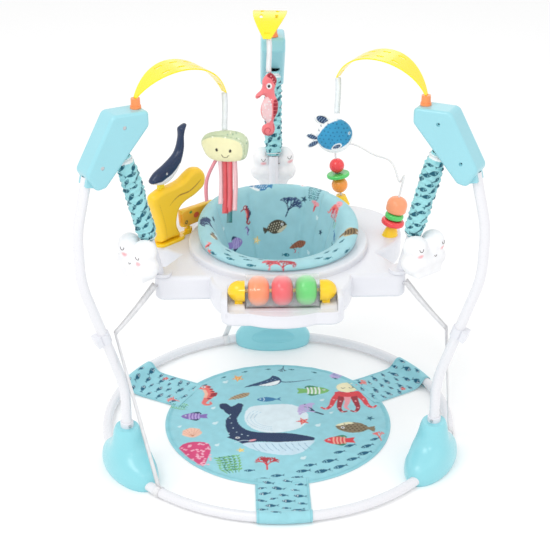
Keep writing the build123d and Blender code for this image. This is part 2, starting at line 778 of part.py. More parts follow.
with BuildPart() as burger_bun:
    with BuildSketch(on_line(stack_foot, stack_dir, 53.0)):
        Circle(23.0)
    extrude(amount=38.0)
    fillet(burger_bun.edges().group_by(Axis.Z)[-1], radius=19.0)
    fillet(burger_bun.edges().group_by(Axis.Z)[0], radius=9.0)
    with BuildSketch(on_line(stack_foot, stack_dir, 0.0)):
        Circle(bore_r)
    extrude(amount=130.0, mode=Mode.SUBTRACT)
save(burger_bun.part, "burger_bun")

# ------------------------------------------------------ food and whale toy
toy_spot = Vector(-250.0, 20.0, 0)
toy_angle = 45.0
toy_side = Vector(sin(radians(toy_angle)), -cos(radians(toy_angle)), 0)
toy_plane = Plane(origin=toy_spot, x_dir=(cos(radians(toy_angle)), sin(radians(toy_angle)), 0),
                  z_dir=toy_side)
peg_s = 70.0


def toy_point(s, n, z):
    return toy_spot + toy_plane.x_dir * s + toy_side * n + Vector(0, 0, z)


pivot_s = -8.0
pivot_z = 613.0
with BuildPart() as toy_stand:
    with BuildSketch(Plane.XY.offset(tray_top_z)):
        with Locations((toy_point(8.0, 0, 0).X, toy_point(8.0, 0, 0).Y)):
            SlotOverall(86.0, 44.0, rotation=toy_angle)
        with Locations((toy_point(56.0, 0, 0).X, toy_point(56.0, 0, 0).Y)):
            Rectangle(34.0, 14.0, rotation=toy_angle)
    extrude(amount=6.0)
    fillet(toy_stand.edges().group_by(Axis.Z)[-1], radius=3.0)
    with BuildSketch(Plane(origin=toy_point(peg_s, 0, tray_top_z + 5.0))):
        Circle(9.0)
    extrude(amount=8.0)
    with BuildSketch(Plane(origin=toy_point(peg_s, 0, tray_top_z + 5.0))):
        Circle(4.0)
    extrude(amount=36.0)
save(toy_stand.part, "toy_stand")

with BuildPart() as banana:
    with BuildSketch(toy_plane):
        with BuildLine():
            Polyline((-24.0, 468.2), (38.0, 468.2), (34.0, 500.0))
            Spline((34.0, 500.0), (42.0, 536.0), (79.0, 549.0), (109.0, 562.0), (119.0, 586.0),
                   (106.0, 610.0), (82.0, 615.0), (46.0, 599.0), (-4.0, 594.0), (-33.0, 586.0),
                   (-47.0, 570.0), (-42.0, 544.0), (-24.0, 468.2))
        make_face()
    extrude(amount=15.0, both=True)
    faces = banana.faces().filter_by(Axis((0, 0, 0), tuple(toy_side)))
    fillet(faces.edges(), radius=5.5)
    with BuildSketch(toy_plane):
        with BuildLine():
            Polyline((pivot_s - 9.0, 570.0), (pivot_s + 9.0, 570.0), (pivot_s + 7.0, pivot_z))
            ThreePointArc((pivot_s + 7.0, pivot_z), (pivot_s, pivot_z + 7.0), (pivot_s - 7.0, pivot_z))
            Line((pivot_s - 7.0, pivot_z), (pivot_s - 9.0, 570.0))
        make_face()
    extrude(amount=4.0, both=True)
    with BuildSketch(toy_plane):
        with Locations((pivot_s, pivot_z)):
            Circle(2.5)
    extrude(amount=13.0, both=True)
save(banana.part, "banana")

with BuildPart() as pizza_slice:
    with BuildSketch(toy_plane):
        with BuildLine():
            Polyline((44.0, 524.0), (48.0, 480.5), (104.0, 480.5), (153.0, 512.0), (148.0, 519.0),
                     (44.0, 524.0))
        make_face()
    extrude(amount=8.0, both=True)
    fillet(pizza_slice.edges().filter_by(Axis((0, 0, 0), tuple(toy_side))), radius=3.0)
    with BuildSketch(Plane(origin=toy_point(peg_s, 0, 470.0))):
        Circle(4.05)
    extrude(amount=34.0, mode=Mode.SUBTRACT)
save(pizza_slice.part, "pizza_slice")

with BuildPart() as whale:
    with BuildSketch(toy_plane):
        with BuildLine():
            Spline((-16.0, 602.5), (8.0, 602.0), (32.0, 617.0), (50.0, 640.0), (60.0, 670.0), (61.0, 698.0),
                   (71.0, 722.0), (50.0, 714.0), (46.0, 690.0), (26.0, 660.0), (-7.0, 648.0),
                   (-31.0, 630.0), (-38.0, 613.0), (-16.0, 602.5))
        make_face()
    extrude(amount=13.0, both=True)
    with BuildSketch(toy_plane):
        with BuildLine():
            Polyline((pivot_s - 13.0, 590.0), (pivot_s + 15.0, 590.0), (pivot_s + 12.0, pivot_z + 9.0),
                     (pivot_s - 11.0, pivot_z + 9.0), (pivot_s - 13.0, 590.0))
        make_face()
    extrude(amount=4.5, both=True, mode=Mode.SUBTRACT)
    with BuildSketch(toy_plane):
        with Locations((pivot_s, pivot_z)):
            Circle(2.55)
    extrude(amount=20.0, both=True, mode=Mode.SUBTRACT)
save(whale.part, "whale")

# ------------------------------------------------ hanging toys on ribbons
ribbon_w = 12.0
ribbon_t = 1.2
hang = {
    "left": (Vector(-113.0, -65.0, 0), 835.0, 754.0),
    "right": (Vector(120.0, -69.0, 0), 866.0, 789.0),
    "back": (Vector(-15.0, 152.0, 0), 886.0, 809.0),
}
for name, (spot, top, low) in hang.items():
    with BuildPart() as ribbon:
        with BuildSketch(Plane(origin=spot + Vector(0, 0, low))):
            Rectangle(ribbon_w, ribbon_t)
        extrude(amount=top - low)
    save(ribbon.part, f"ribbon_{name}")

with BuildPart() as jellyfish:
    spot = hang["left"][0]
    with BuildSketch(Plane(origin=spot, x_dir=(1, 0, 0), z_dir=(0, -1, 0))):
        with BuildLine():
            Line((-44.0, 684.0), (44.0, 684.0))
            Spline((44.0, 684.0), (48.0, 712.0), (30.0, 744.0), (0, 753.5), (-30.0, 744.0),
                   (-48.0, 712.0), (-44.0, 684.0))
        make_face()
    extrude(amount=16.0, both=True)
    fillet(jellyfish.edges().filter_by(Axis.Y), radius=6.0)
    with BuildSketch(Plane(origin=spot + Vector(2.0, 0, 690.0))):
        Rectangle(30.0, 5.0)
    extrude(amount=-145.0)
save(jellyfish.part, "jellyfish")

with BuildPart() as puffer_fish:
    spot = Vector(115.0, -69.0, 740.0)
    with Locations(Location(tuple(spot))):
        Sphere(38.0)
        with Locations((-38.0, 0, -12.0)):
            Box(24.0, 12.0, 26.0)
    with BuildSketch(Plane(origin=spot, x_dir=(1, 0, 0), z_dir=(0, -1, 0))):
        with Locations((0, 30.0)):
            Rectangle(24.0, 37.0)
    extrude(amount=4.0, both=True)
    with BuildSketch(Plane.XZ.offset(-spot.Y)):
        with Locations((spot.X, spot.Z)):
            Rectangle(120.0, 120.0)
    extrude(amount=17.0, both=True, mode=Mode.INTERSECT)
save(puffer_fish.part, "puffer_fish")

with BuildPart() as seahorse:
    spot = Vector(hang["back"][0].X, hang["back"][0].Y, 0)
    with BuildSketch(Plane(origin=spot, x_dir=(1, 0, 0), z_dir=(0, -1, 0))):
        with BuildLine():
            Spline((0, 808.5), (16.0, 795.0), (12.0, 770.0), (20.0, 735.0), (14.0, 695.0), (-4.0, 662.0),
                   (-20.0, 668.0), (-18.0, 700.0), (-22.0, 740.0), (-18.0, 766.0), (-32.0, 774.0),
                   (-18.0, 797.0), (0, 808.5))
        make_face()
    extrude(amount=11.0, both=True)
save(seahorse.part, "seahorse")
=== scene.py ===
import math
import bpy
import numpy as np
from mathutils import Matrix, Vector, noise
from mathutils.bvhtree import BVHTree
from mathutils.geometry import delaunay_2d_cdt


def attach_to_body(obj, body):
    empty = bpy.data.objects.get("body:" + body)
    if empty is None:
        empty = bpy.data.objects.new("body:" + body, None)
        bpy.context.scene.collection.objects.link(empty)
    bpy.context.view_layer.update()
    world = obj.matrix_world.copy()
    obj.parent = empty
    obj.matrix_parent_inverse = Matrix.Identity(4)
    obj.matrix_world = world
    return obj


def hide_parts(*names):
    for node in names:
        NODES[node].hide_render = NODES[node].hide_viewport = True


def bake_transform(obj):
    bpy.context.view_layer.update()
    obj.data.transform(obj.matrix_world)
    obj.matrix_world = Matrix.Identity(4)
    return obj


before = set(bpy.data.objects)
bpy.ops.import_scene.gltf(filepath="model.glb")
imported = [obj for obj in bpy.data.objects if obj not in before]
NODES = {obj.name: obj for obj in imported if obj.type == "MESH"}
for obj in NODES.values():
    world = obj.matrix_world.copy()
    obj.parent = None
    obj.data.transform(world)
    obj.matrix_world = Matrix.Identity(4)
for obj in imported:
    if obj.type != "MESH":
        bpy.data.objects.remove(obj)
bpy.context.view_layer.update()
MM = 0.001
TAU = 2.0 * math.pi
UP = np.array([0, 0, 1.0])
# direction of each leg, degrees round the vertical axis
LEGS = {"back": 90.0, "left": 210.0, "right": 330.0}
gaiter_draws = np.random.default_rng(7)

# ------------------------------------------------------------------ camera
cam_data = bpy.data.cameras.new("camera")
cam_data.sensor_width = 36.0
cam_data.lens = 88.42
cam_data.clip_end = 50.0
cam = bpy.data.objects.new("camera", cam_data)
bpy.context.scene.collection.objects.link(cam)
cam.location = (-0.0972, -2.7237, 1.7110)
cam.rotation_euler = (math.radians(64.06), 0.0, math.radians(-1.90))
bpy.context.scene.camera = cam


# ------------------------------------------------------------------ colours
def rgb(code):
    # hex sRGB to linear
    out = []
    for i in (1, 3, 5):
        c = int(code[i:i + 2], 16) / 255.0
        out.append(c / 12.92 if c <= 0.04045 else ((c + 0.055) / 1.055) ** 2.4)
    return np.array(out)


AQUA = "#9bd5df"
TEAL = "#1c6a7d"
NAVY = "#22375c"
WHITE = "#f4f4f6"
CREAM = "#f4ecc4"
RED = "#e0464e"
DARKRED = "#a3303d"
PINK = "#f2a0a8"
PEACH = "#f6c5ae"
GREEN = "#7dbb6a"
DEEPGREEN = "#3f8a6a"
YELLOW = "#f4cb5c"
BROWN = "#7a6a55"
PURPLE = "#8c6fb8"
LILAC = "#c6b1df"
BLUE = "#3d7fae"
ICE = "#cfe6f2"
SALMON = "#f0766f"


# ---------------------------------------------------------------- materials
def new_material(name):
    m = bpy.data.materials.new(name)
    m.use_nodes = True
    nt = m.node_tree
    return m, nt, nt.nodes["Principled BSDF"]


def link(nt, a, b):
    nt.links.new(a, b)


def put(node, values):
    for key, value in values.items():
        node.inputs[key].default_value = value


def add_bump(nt, shader, height, strength, distance):
    bump = nt.nodes.new("ShaderNodeBump")
    put(bump, {"Strength": strength, "Distance": distance})
    link(nt, height, bump.inputs["Height"])
    link(nt, bump.outputs["Normal"], shader.inputs["Normal"])


def noise_node(nt, scale, detail=2.0, rough=0.5):
    coords = nt.nodes.new("ShaderNodeTexCoord")
    tex = nt.nodes.new("ShaderNodeTexNoise")
    put(tex, {"Scale": scale, "Detail": detail, "Roughness": rough})
    link(nt, coords.outputs["Object"], tex.inputs["Vector"])
    return tex


def ramp(nt, value, low, high, a=0.3, b=0.7):
    node = nt.nodes.new("ShaderNodeMapRange")
    put(node, {"From Min": a, "From Max": b, "To Min": low, "To Max": high})
    link(nt, value, node.inputs["Value"])
    return node.outputs["Result"]


def plastic(name, code, rough=0.28, coat=0.25, vary=0.03, grain=900.0, subsurface=0.0):
    # moulded plastic: slight colour drift, fine grain and soft gloss
    m, nt, s = new_material(name)
    base = rgb(code)
    tex = noise_node(nt, 14.0, 3.0)
    mix = nt.nodes.new("ShaderNodeMix")
    mix.data_type = "RGBA"
    put(mix, {6: (*(base * (1.0 - vary)), 1), 7: (*np.clip(base * (1.0 + vary), 0, 1), 1)})
    link(nt, tex.outputs["Fac"], mix.inputs[0])
    link(nt, mix.outputs[2], s.inputs["Base Color"])
    fine = noise_node(nt, grain, 2.0)
    link(nt, ramp(nt, fine.outputs["Fac"], rough * 0.85, rough * 1.2), s.inputs["Roughness"])
    add_bump(nt, s, fine.outputs["Fac"], 0.06, 0.0004)
    put(s, {"Coat Weight": coat, "Coat Roughness": 0.12, "IOR": 1.47})
    if subsurface:
        put(s, {"Subsurface Weight": subsurface, "Subsurface Scale": 0.004,
                "Subsurface Radius": tuple(np.clip(base + 0.1, 0, 1))})
    return m


def painted_metal(name, code, rough=0.3):
    m, nt, s = new_material(name)
    grain = noise_node(nt, 420.0, 2.0)
    link(nt, ramp(nt, grain.outputs["Fac"], rough * 0.8, rough * 1.25), s.inputs["Roughness"])
    add_bump(nt, s, grain.outputs["Fac"], 0.05, 0.0004)
    put(s, {"Base Color": (*rgb(code), 1), "Coat Weight": 0.3, "Coat Roughness": 0.15})
    return m


def steel(name):
    m, nt, s = new_material(name)
    put(s, {"Base Color": (0.55, 0.56, 0.58, 1), "Metallic": 1.0})
    tex = noise_node(nt, 300.0, 3.0)
    link(nt, ramp(nt, tex.outputs["Fac"], 0.22, 0.42), s.inputs["Roughness"])
    return m


def clear_plastic(name):
    # thin clear shell, whiter and glossier towards its edges
    m, nt, s = new_material(name)
    put(s, {"Base Color": (0.9, 0.93, 0.95, 1), "Coat Weight": 1.0, "Coat Roughness": 0.03})
    tex = noise_node(nt, 60.0, 2.0)
    link(nt, ramp(nt, tex.outputs["Fac"], 0.03, 0.09), s.inputs["Roughness"])
    rim = nt.nodes.new("ShaderNodeLayerWeight")
    rim.inputs["Blend"].default_value = 0.35
    link(nt, ramp(nt, rim.outputs["Facing"], 0.06, 0.6, 0.05, 1.0), s.inputs["Alpha"])
    return m


def fabric(name, code=None, rough=0.88, weave=520.0, depth=0.35, sheen=0.25, fuzz=0.0, vary=0.05):
    # woven or plush cloth; with no colour given it shows the painted print
    m, nt, s = new_material(name)
    if code is None:
        source = nt.nodes.new("ShaderNodeAttribute")
        source.attribute_name = "Paint"
        colour = source.outputs["Color"]
    else:
        source = nt.nodes.new("ShaderNodeRGB")
        source.outputs[0].default_value = (*rgb(code), 1)
        colour = source.outputs[0]
    drift = noise_node(nt, 45.0, 4.0)
    shade = ramp(nt, drift.outputs["Fac"], 1.0 - vary, 1.0 + vary)
    scale = nt.nodes.new("ShaderNodeVectorMath")
    scale.operation = "SCALE"
    link(nt, colour, scale.inputs[0])
    link(nt, shade, scale.inputs["Scale"])
    link(nt, scale.outputs[0], s.inputs["Base Color"])
    put(s, {"Roughness": rough, "Sheen Weight": sheen, "Sheen Roughness": 0.4, "Specular IOR Level": 0.25})
    coords = nt.nodes.new("ShaderNodeTexCoord")
    parts = []
    for axis in ("X", "Y", "Z"):
        wave = nt.nodes.new("ShaderNodeTexWave")
        wave.bands_direction = axis
        put(wave, {"Scale": weave, "Distortion": 1.5, "Detail": 1.0})
        link(nt, coords.outputs["Object"], wave.inputs["Vector"])
        parts.append(wave.outputs["Fac"])
    if fuzz:
        # a plush nap takes the place of the third thread direction
        parts[2] = noise_node(nt, fuzz, 5.0, 0.7).outputs["Fac"]
    height = parts[0]
    for part in parts[1:]:
        total = nt.nodes.new("ShaderNodeMath")
        total.operation = "ADD"
        link(nt, height, total.inputs[0])
        link(nt, part, total.inputs[1])
        height = total.outputs[0]
    add_bump(nt, s, height, depth, 0.0005)
    return m


MAT = {
    "tube": painted_metal("tube_white", "#e6e6ea"),
    "wire": painted_metal("wire_white", "#e9e9ea", 0.25),
    "steel": steel("zinc_steel"),
    "turquoise": plastic("turquoise_plastic", "#8fd5df", 0.3, 0.3),
    "aqua": plastic("aqua_plastic", "#97d2dd", 0.32, 0.3),
    "white": plastic("white_plastic", "#e2e3e9", 0.3, 0.25, 0.01),
    "yellow": plastic("yellow_plastic", "#ffe21c", 0.25, 0.4, 0.03, 900.0, 0.1),
    "amber": plastic("amber_plastic", "#fccf1b", 0.25, 0.4, 0.05, 900.0, 0.1),
    "orange": plastic("orange_plastic", "#ff9555", 0.3, 0.3),
    "clear": clear_plastic("clear_plastic"),
    "bead_orange": plastic("bead_orange", "#ff9c3a", 0.22, 0.5),
    "bead_red": plastic("bead_red", "#f4444a", 0.22, 0.5),
    "bead_green": plastic("bead_green", "#55cf68", 0.22, 0.5),
    "bead_peach": plastic("bead_peach", "#ffa274", 0.3, 0.3),
    "drum_orange": plastic("drum_orange", "#ff8f47", 0.25, 0.4),
    "drum_red": plastic("drum_red", "#f5414d", 0.25, 0.4),
    "drum_green": plastic("drum_green", "#4fd65f", 0.25, 0.4),
    "print": fabric("printed_cloth", None, 0.85, 520.0, 0.3),
    "satin": fabric("satin_print", None, 0.55, 520.0, 0.18, 0.25, 0.0, 0.04),
    "plush": fabric("printed_plush", None, 0.95, 380.0, 0.3, 0.4, 900.0),
    "webbing": fabric("white_webbing", "#f2f2f4", 0.8, 420.0, 0.5, 0.2),
    "ribbon": fabric("ribbon_print", None, 0.6, 700.0, 0.25, 0.3),
    "toy": plastic("painted_toy", "#ffffff", 0.35, 0.25),
    "thread": fabric("dark_thread", "#4a3a34", 0.8, 900.0, 0.2),
}


def paint_plastic(m):
    # the toy plastic shows the painted colours
    nt = m.node_tree
    s = nt.nodes["Principled BSDF"]
    for joint in list(s.inputs["Base Color"].links):
        nt.links.remove(joint)
    source = nt.nodes.new("ShaderNodeAttribute")
    source.attribute_name = "Paint"
    link(nt, source.outputs["Color"], s.inputs["Base Color"])


paint_plastic(MAT["toy"])


# ------------------------------------------------------------- mesh helpers
def attach(piece, body, node):
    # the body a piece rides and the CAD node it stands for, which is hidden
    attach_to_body(piece, body)
    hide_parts(node)


def write_paint(mesh, colours):
    attribute = mesh.attributes.new("Paint", "FLOAT_COLOR", "POINT")
    rgba = np.ones((len(colours), 4), np.float32)
    rgba[:, :3] = colours
    attribute.data.foreach_set("color", rgba.ravel())


def make_object(name, verts, faces, material, paint=None, smooth=True):
    mesh = bpy.data.meshes.new(name)
    mesh.from_pydata([tuple(v) for v in np.asarray(verts) * MM], [], faces)
    mesh.validate()
    mesh.update()
    if smooth:
        mesh.polygons.foreach_set("use_smooth", [True] * len(mesh.polygons))
    if paint is not None:
        write_paint(mesh, paint)
    mesh.materials.append(material)
    o = bpy.data.objects.new(name, mesh)
    bpy.context.scene.collection.objects.link(o)
    return o


def grid_faces(rows, cols, wrap=False, flip=False):
    faces = []
    span = cols if wrap else cols - 1
    for i in range(rows - 1):
        for j in range(span):
            k = (j + 1) % cols
            quad = (i * cols + j, i * cols + k, (i + 1) * cols + k, (i + 1) * cols + j)
            faces.append(quad[::-1] if flip else quad)
    return faces


def slab_faces(rows, cols, rim, outward):
    # an upper grid, the same grid under it, and a wall along the rim that joins them
    size = rows * cols
    top = grid_faces(rows, cols, False, True)
    faces = top + [tuple(i + size for i in f[::-1]) for f in top]
    for p, q in zip(rim, rim[1:] + rim[:1]):
        faces.append((p, q, q + size, p + size) if outward else (p, p + size, q + size, q))
    return faces


def triangulate(points, edges, mode, grain):
    # flat points and triangles of a constrained Delaunay mesh
    made = delaunay_2d_cdt([Vector(p) for p in points], edges, [], mode, grain)
    return np.array([[v.x, v.y] for v in made[0]]), [tuple(f) for f in made[2]]


def mirrored(tris, rim, count):
    # the underside of a closed shape: rim points are shared, the others follow the first ones
    index = np.where(rim, np.arange(count), count + np.cumsum(~rim) - 1)
    return [tuple(int(index[i]) for i in f[::-1]) for f in tris]


def run_length(points):
    # distance along a line of points, at each point
    return np.concatenate([[0], np.cumsum(np.linalg.norm(np.diff(points, axis=0), axis=1))])


def curve_points(points, step, closed=False):
    # Catmull-Rom through the points, sampled about every step
    p = [np.array(q, float) for q in points]
    n = len(p)
    out = []
    last = n if closed else n - 1
    for i in range(last):
        a = p[(i - 1) % n] if closed or i > 0 else 2 * p[0] - p[1]
        b = p[i]
        c = p[(i + 1) % n]
        d = p[(i + 2) % n] if closed or i + 2 < n else 2 * p[-1] - p[-2]
        k = max(2, int(np.linalg.norm(c - b) / step + 0.5))
        for t in np.arange(k) / k:
            out.append(0.5 * (2 * b + (c - a) * t + (2 * a - 5 * b + 4 * c - d) * t * t
                              + (3 * b - a - 3 * c + d) * t ** 3))
    if not closed:
        out.append(p[-1])
    return np.array(out)


def inside(poly, x, y):
    hit = np.zeros(len(x), bool)
    j = len(poly) - 1
    for i in range(len(poly)):
        xi, yi = poly[i]
        xj, yj = poly[j]
        if yi != yj:
            hit ^= ((yi > y) != (yj > y)) & (x < (xj - xi) * (y - yi) / (yj - yi) + xi)
        j = i
    return hit


def edge_distance(poly, x, y, closed=True):
    best = np.full(len(x), 1e9)
    n = len(poly)
    for i in range(n if closed else n - 1):
        a = poly[i]
        b = poly[(i + 1) % n]
        d = b - a
        length = d @ d
        t = np.zeros(len(x))
        if length >= 1e-12:
            t = np.clip(((x - a[0]) * d[0] + (y - a[1]) * d[1]) / length, 0, 1)
        best = np.minimum(best, np.hypot(x - a[0] - t * d[0], y - a[1] - t * d[1]))
    return best


class Ink:
    """Paints flat motifs on points given by two flat coordinates in millimetres."""

    def __init__(self, x, y, base):
        self.x = np.asarray(x, float)
        self.y = np.asarray(y, float)
        self.colour = np.tile(rgb(base), (len(self.x), 1))
        self.at(0, 0)

    def at(self, cx, cy, size=1.0, turn=0.0, flip=1):
        self.cx, self.cy, self.size, self.flip = cx, cy, size, flip
        self.cos, self.sin = math.cos(math.radians(turn)), math.sin(math.radians(turn))
        return self

    def world(self, pts):
        p = np.array(pts, float) * self.size
        u = p[:, 0] * self.flip
        v = p[:, 1]
        return np.stack([self.cx + u * self.cos - v * self.sin, self.cy + u * self.sin + v * self.cos], 1)

    def near(self, poly, pad):
        lo = poly.min(0) - pad
        hi = poly.max(0) + pad
        return np.where((self.x > lo[0]) & (self.x < hi[0]) & (self.y > lo[1]) & (self.y < hi[1]))[0]

    def blend(self, index, amount, code):
        c = rgb(code) if isinstance(code, str) else code
        a = amount[:, None]
        self.colour[index] = self.colour[index] * (1 - a) + c * a

    def shape(self, pts, code, smooth=True, soft=0.5):
        w = self.world(pts)
        if smooth:
            w = curve_points(w, max(1.0, 0.12 * np.ptp(w, 0).max()), True)
        index = self.near(w, 2.0)
        if len(index) == 0:
            return self
        x, y = self.x[index], self.y[index]
        d = edge_distance(w, x, y)
        signed = np.where(inside(w, x, y), d, -d)
        self.blend(index, np.clip(signed / (2 * soft) + 0.5, 0, 1), code)
        return self

    def oval(self, cx, cy, rx, ry, code, turn=0.0, soft=0.5):
        t = np.linspace(0, TAU, 20, endpoint=False)
        c, s = math.cos(math.radians(turn)), math.sin(math.radians(turn))
        x = rx * np.cos(t)
        y = ry * np.sin(t)
        return self.shape(np.stack([cx + x * c - y * s, cy + x * s + y * c], 1), code, False, soft)

    def line(self, pts, width, code, smooth=True, taper=None, soft=0.5):
        w = self.world(pts)
        if smooth and len(w) > 2:
            w = curve_points(w, max(0.8, 0.08 * np.ptp(w, 0).max()))
        half = width * self.size / 2
        index = self.near(w, half + 2.0)
        if len(index) == 0:
            return self
        x, y = self.x[index], self.y[index]
        if taper is None:
            d = half - edge_distance(w, x, y, False)
        else:
            widths = np.interp(np.linspace(0, 1, len(w)), np.linspace(0, 1, len(taper)), taper) * half
            d = np.full(len(x), -1e9)
            for k in range(len(w) - 1):
                d = np.maximum(d, widths[k] - edge_distance(w[k:k + 2], x, y, False))
        self.blend(index, np.clip(d / (2 * soft) + 0.5, 0, 1), code)
        return self


# ------------------------------------------------------------------ motifs
def eye(k, x, y, size, pupil, dark="#2b2b2b"):
    k.oval(x, y, *size, WHITE)
    k.oval(x, y, *pupil, dark)


def fish(k, body, mark=None):
    k.shape([(1, 0), (0.7, 0.26), (0.15, 0.36), (-0.35, 0.2), (-0.62, 0.05), (-1, 0.34), (-0.86, 0),
             (-1, -0.32), (-0.62, -0.06), (-0.35, -0.22), (0.15, -0.36), (0.7, -0.24)], body)
    if mark:
        k.line([(0.46, 0.24), (0.38, 0), (0.46, -0.22)], 0.08, mark)
        k.oval(0.72, 0.06, 0.08, 0.08, mark)


def star(k, body, dots=None, arms=5):
    pts = []
    for i in range(2 * arms):
        a = math.pi / 2 + i * math.pi / arms
        r = 1.0 if i % 2 == 0 else 0.42
        pts.append((r * math.cos(a), r * math.sin(a)))
    k.shape(pts, body, False)
    if dots:
        for i in range(arms):
            a = math.pi / 2 + i * TAU / arms
            k.oval(0.45 * math.cos(a), 0.45 * math.sin(a), 0.1, 0.1, dots)
        k.oval(0, 0, 0.14, 0.14, dots)


def coral(k, code, other=None, width=0.09, spread=34.0, depth=4):
    draw = np.random.default_rng(int(abs(k.cx * 7 + k.cy * 3)) + 5)

    def grow(x, y, angle, length, left, tint):
        nx = x + length * math.cos(math.radians(angle))
        ny = y + length * math.sin(math.radians(angle))
        k.line([(x, y), (nx, ny)], width * (0.6 + 0.18 * left), tint, False)
        if left:
            for turn in (-spread, 0.35 * spread * draw.uniform(-1, 1), spread):
                if left > 1 or turn != 0:
                    t = other if other and draw.random() > 0.5 else tint
                    grow(nx, ny, angle + turn * draw.uniform(0.6, 1.1), length * draw.uniform(0.62, 0.82),
                         left - 1, t)

    grow(0, -1.0, 90, 0.62, depth - 1, code)


def seahorse(k, body, dark, pale):
    k.line([(-0.05, 0.72), (0.12, 0.35), (0.22, 0.02), (0.08, -0.3), (-0.02, -0.55), (-0.1, -0.75),
            (0.05, -0.92), (0.26, -0.84), (0.22, -0.68)], 0.4, body, True,
           [0.8, 1.0, 1.2, 1.1, 0.7, 0.5, 0.4, 0.3, 0.2])
    k.line([(-0.08, 0.45), (0.02, 0.1), (-0.02, -0.2)], 0.16, pale)
    k.oval(-0.06, 0.72, 0.27, 0.22, body)
    k.line([(-0.2, 0.66), (-0.62, 0.52)], 0.1, body)
    for i in range(6):
        y = 0.75 - 0.22 * i
        x = 0.16 + 0.18 * math.sin(i * 0.62)
        k.oval(x, y, 0.1, 0.07, dark)
    k.shape([(0.26, 0.1), (0.55, 0.2), (0.5, -0.12), (0.28, -0.18)], dark)
    eye(k, -0.12, 0.75, (0.1, 0.1), (0.05, 0.05), "#333333")


def scallop(k, body, rib):
    pts = [(-0.25, -0.75)]
    for i in range(9):
        a = math.radians(200 - i * 27.5)
        r = 1.0 if i % 2 == 0 else 0.9
        pts.append((r * math.cos(a), 0.9 * r * math.sin(a) + 0.1))
    pts.append((0.25, -0.75))
    k.shape(pts, body)
    for i in range(1, 8):
        a = math.radians(200 - i * 27.5)
        k.line([(0, -0.6), (0.9 * math.cos(a), 0.8 * math.sin(a) + 0.1)], 0.035, rib, False)
    k.oval(0, -0.45, 0.16, 0.12, rib)


def cone_shell(k, body, band):
    k.shape([(-1, 0), (-0.3, 0.28), (0.45, 0.3), (1, 0.1), (0.8, -0.2), (0.2, -0.32), (-0.4, -0.2)], body)
    for x in (-0.55, -0.25, 0.05, 0.35, 0.62):
        k.line([(x - 0.05, 0.3), (x + 0.05, -0.3)], 0.06, band)


def weed(k, code, other, blades=4):
    for i in range(blades):
        x = -0.6 + 1.2 * i / max(1, blades - 1)
        tint = code if i % 2 == 0 else other
        stem = [(x * 0.6, -1), (x - 0.08, -0.4), (x + 0.08, 0.2), (x, 0.8)]
        k.line(stem, 0.06, tint)
        for j in range(6):
            y = -0.7 + 0.28 * j
            k.oval(x * (0.7 + 0.05 * j) - 0.13, y + 0.06, 0.13, 0.055, tint, 140)
            k.oval(x * (0.7 + 0.05 * j) + 0.13, y, 0.13, 0.055, tint, 40)


def turtle_fish(k, body, dots, belly):
    k.shape([(-1, 0.05), (-0.7, 0.4), (-0.1, 0.55), (0.45, 0.35), (0.7, 0.1), (1, 0.3), (0.98, -0.25),
             (0.68, -0.1), (0.3, -0.42), (-0.35, -0.45), (-0.8, -0.25)], body)
    k.shape([(-1, 0.0), (-0.8, -0.24), (-0.35, -0.46), (-0.1, -0.36), (-0.5, -0.15)], belly)
    for i in range(-3, 3):
        for j in range(-1, 3):
            x = 0.22 * i + 0.1 * (j % 2)
            y = 0.17 * j - 0.05
            k.oval(x, y, 0.05, 0.045, dots)
    eye(k, -0.62, 0.12, (0.1, 0.1), (0.05, 0.05))


def stripe_fish(k, body, stripe, fin):
    k.shape([(0.2, 0.5), (-0.3, 0.62), (-0.5, 0.3), (0.4, 0.3)], fin)
    k.shape([(0.2, -0.5), (-0.2, -0.6), (-0.4, -0.3), (0.4, -0.3)], fin)
    k.shape([(1, 0), (0.6, 0.35), (0, 0.46), (-0.5, 0.24), (-1, 0.32), (-0.9, 0), (-1, -0.32),
             (-0.5, -0.24), (0, -0.44), (0.6, -0.34)], body)
    for x in (-0.35, -0.12, 0.11, 0.34):
        k.line([(x, 0.36), (x + 0.04, 0), (x, -0.36)], 0.1, stripe)
    eye(k, 0.66, 0.08, (0.08, 0.08), (0.04, 0.04))


def octopus(k, body, dark, head):
    arms = [(body, [(-0.33, 0.5), (-0.6, 0.0), (-0.76, -0.5), (-0.98, -0.74), (-1.15, -0.62)]),
            (body, [(0.4, 0.5), (0.64, 0.0), (0.78, -0.5), (0.98, -0.68), (1.12, -0.54)]),
            (dark, [(-0.18, 0.45), (-0.34, -0.15), (-0.42, -0.68), (-0.32, -0.98), (-0.15, -0.95)]),
            (dark, [(0.22, 0.45), (0.3, -0.15), (0.36, -0.68), (0.22, -0.98), (0.05, -0.92)]),
            (PINK, [(0.0, 0.45), (-0.05, -0.2), (-0.16, -0.6), (-0.05, -0.8)])]
    for tint, arm in arms:
        k.line(arm, 0.27, tint, True, [1.2, 1.0, 0.8, 0.55, 0.3])
        for x, y in arm[1:4]:
            k.oval(x, y, 0.05, 0.05, PINK)
    k.shape([(-0.5, 0.62), (-0.42, 0.3), (0, 0.2), (0.46, 0.3), (0.52, 0.62), (0, 0.55)], body)
    k.oval(0.03, 0.98, 0.46, 0.4, head)
    for x in (-0.14, 0.2):
        k.line([(x - 0.08, 0.95), (x, 0.9), (x + 0.08, 0.95)], 0.035, BROWN)


def fan(k, body, dots):
    k.shape([(-0.9, 0.45), (-0.55, 0.8), (-0.1, 0.85), (0.3, 0.7), (0.4, 0.2), (0.28, -0.4), (0.1, -0.95),
             (-0.25, -0.6), (-0.6, -0.15)], body)
    draw = np.random.default_rng(21)
    for i in range(70):
        x, y = draw.uniform(-0.85, 0.4), draw.uniform(-0.85, 0.8)
        if y > -0.95 - 1.3 * x - 0.1 and y < 0.75:
            k.oval(x, y, 0.05, 0.045, dots)


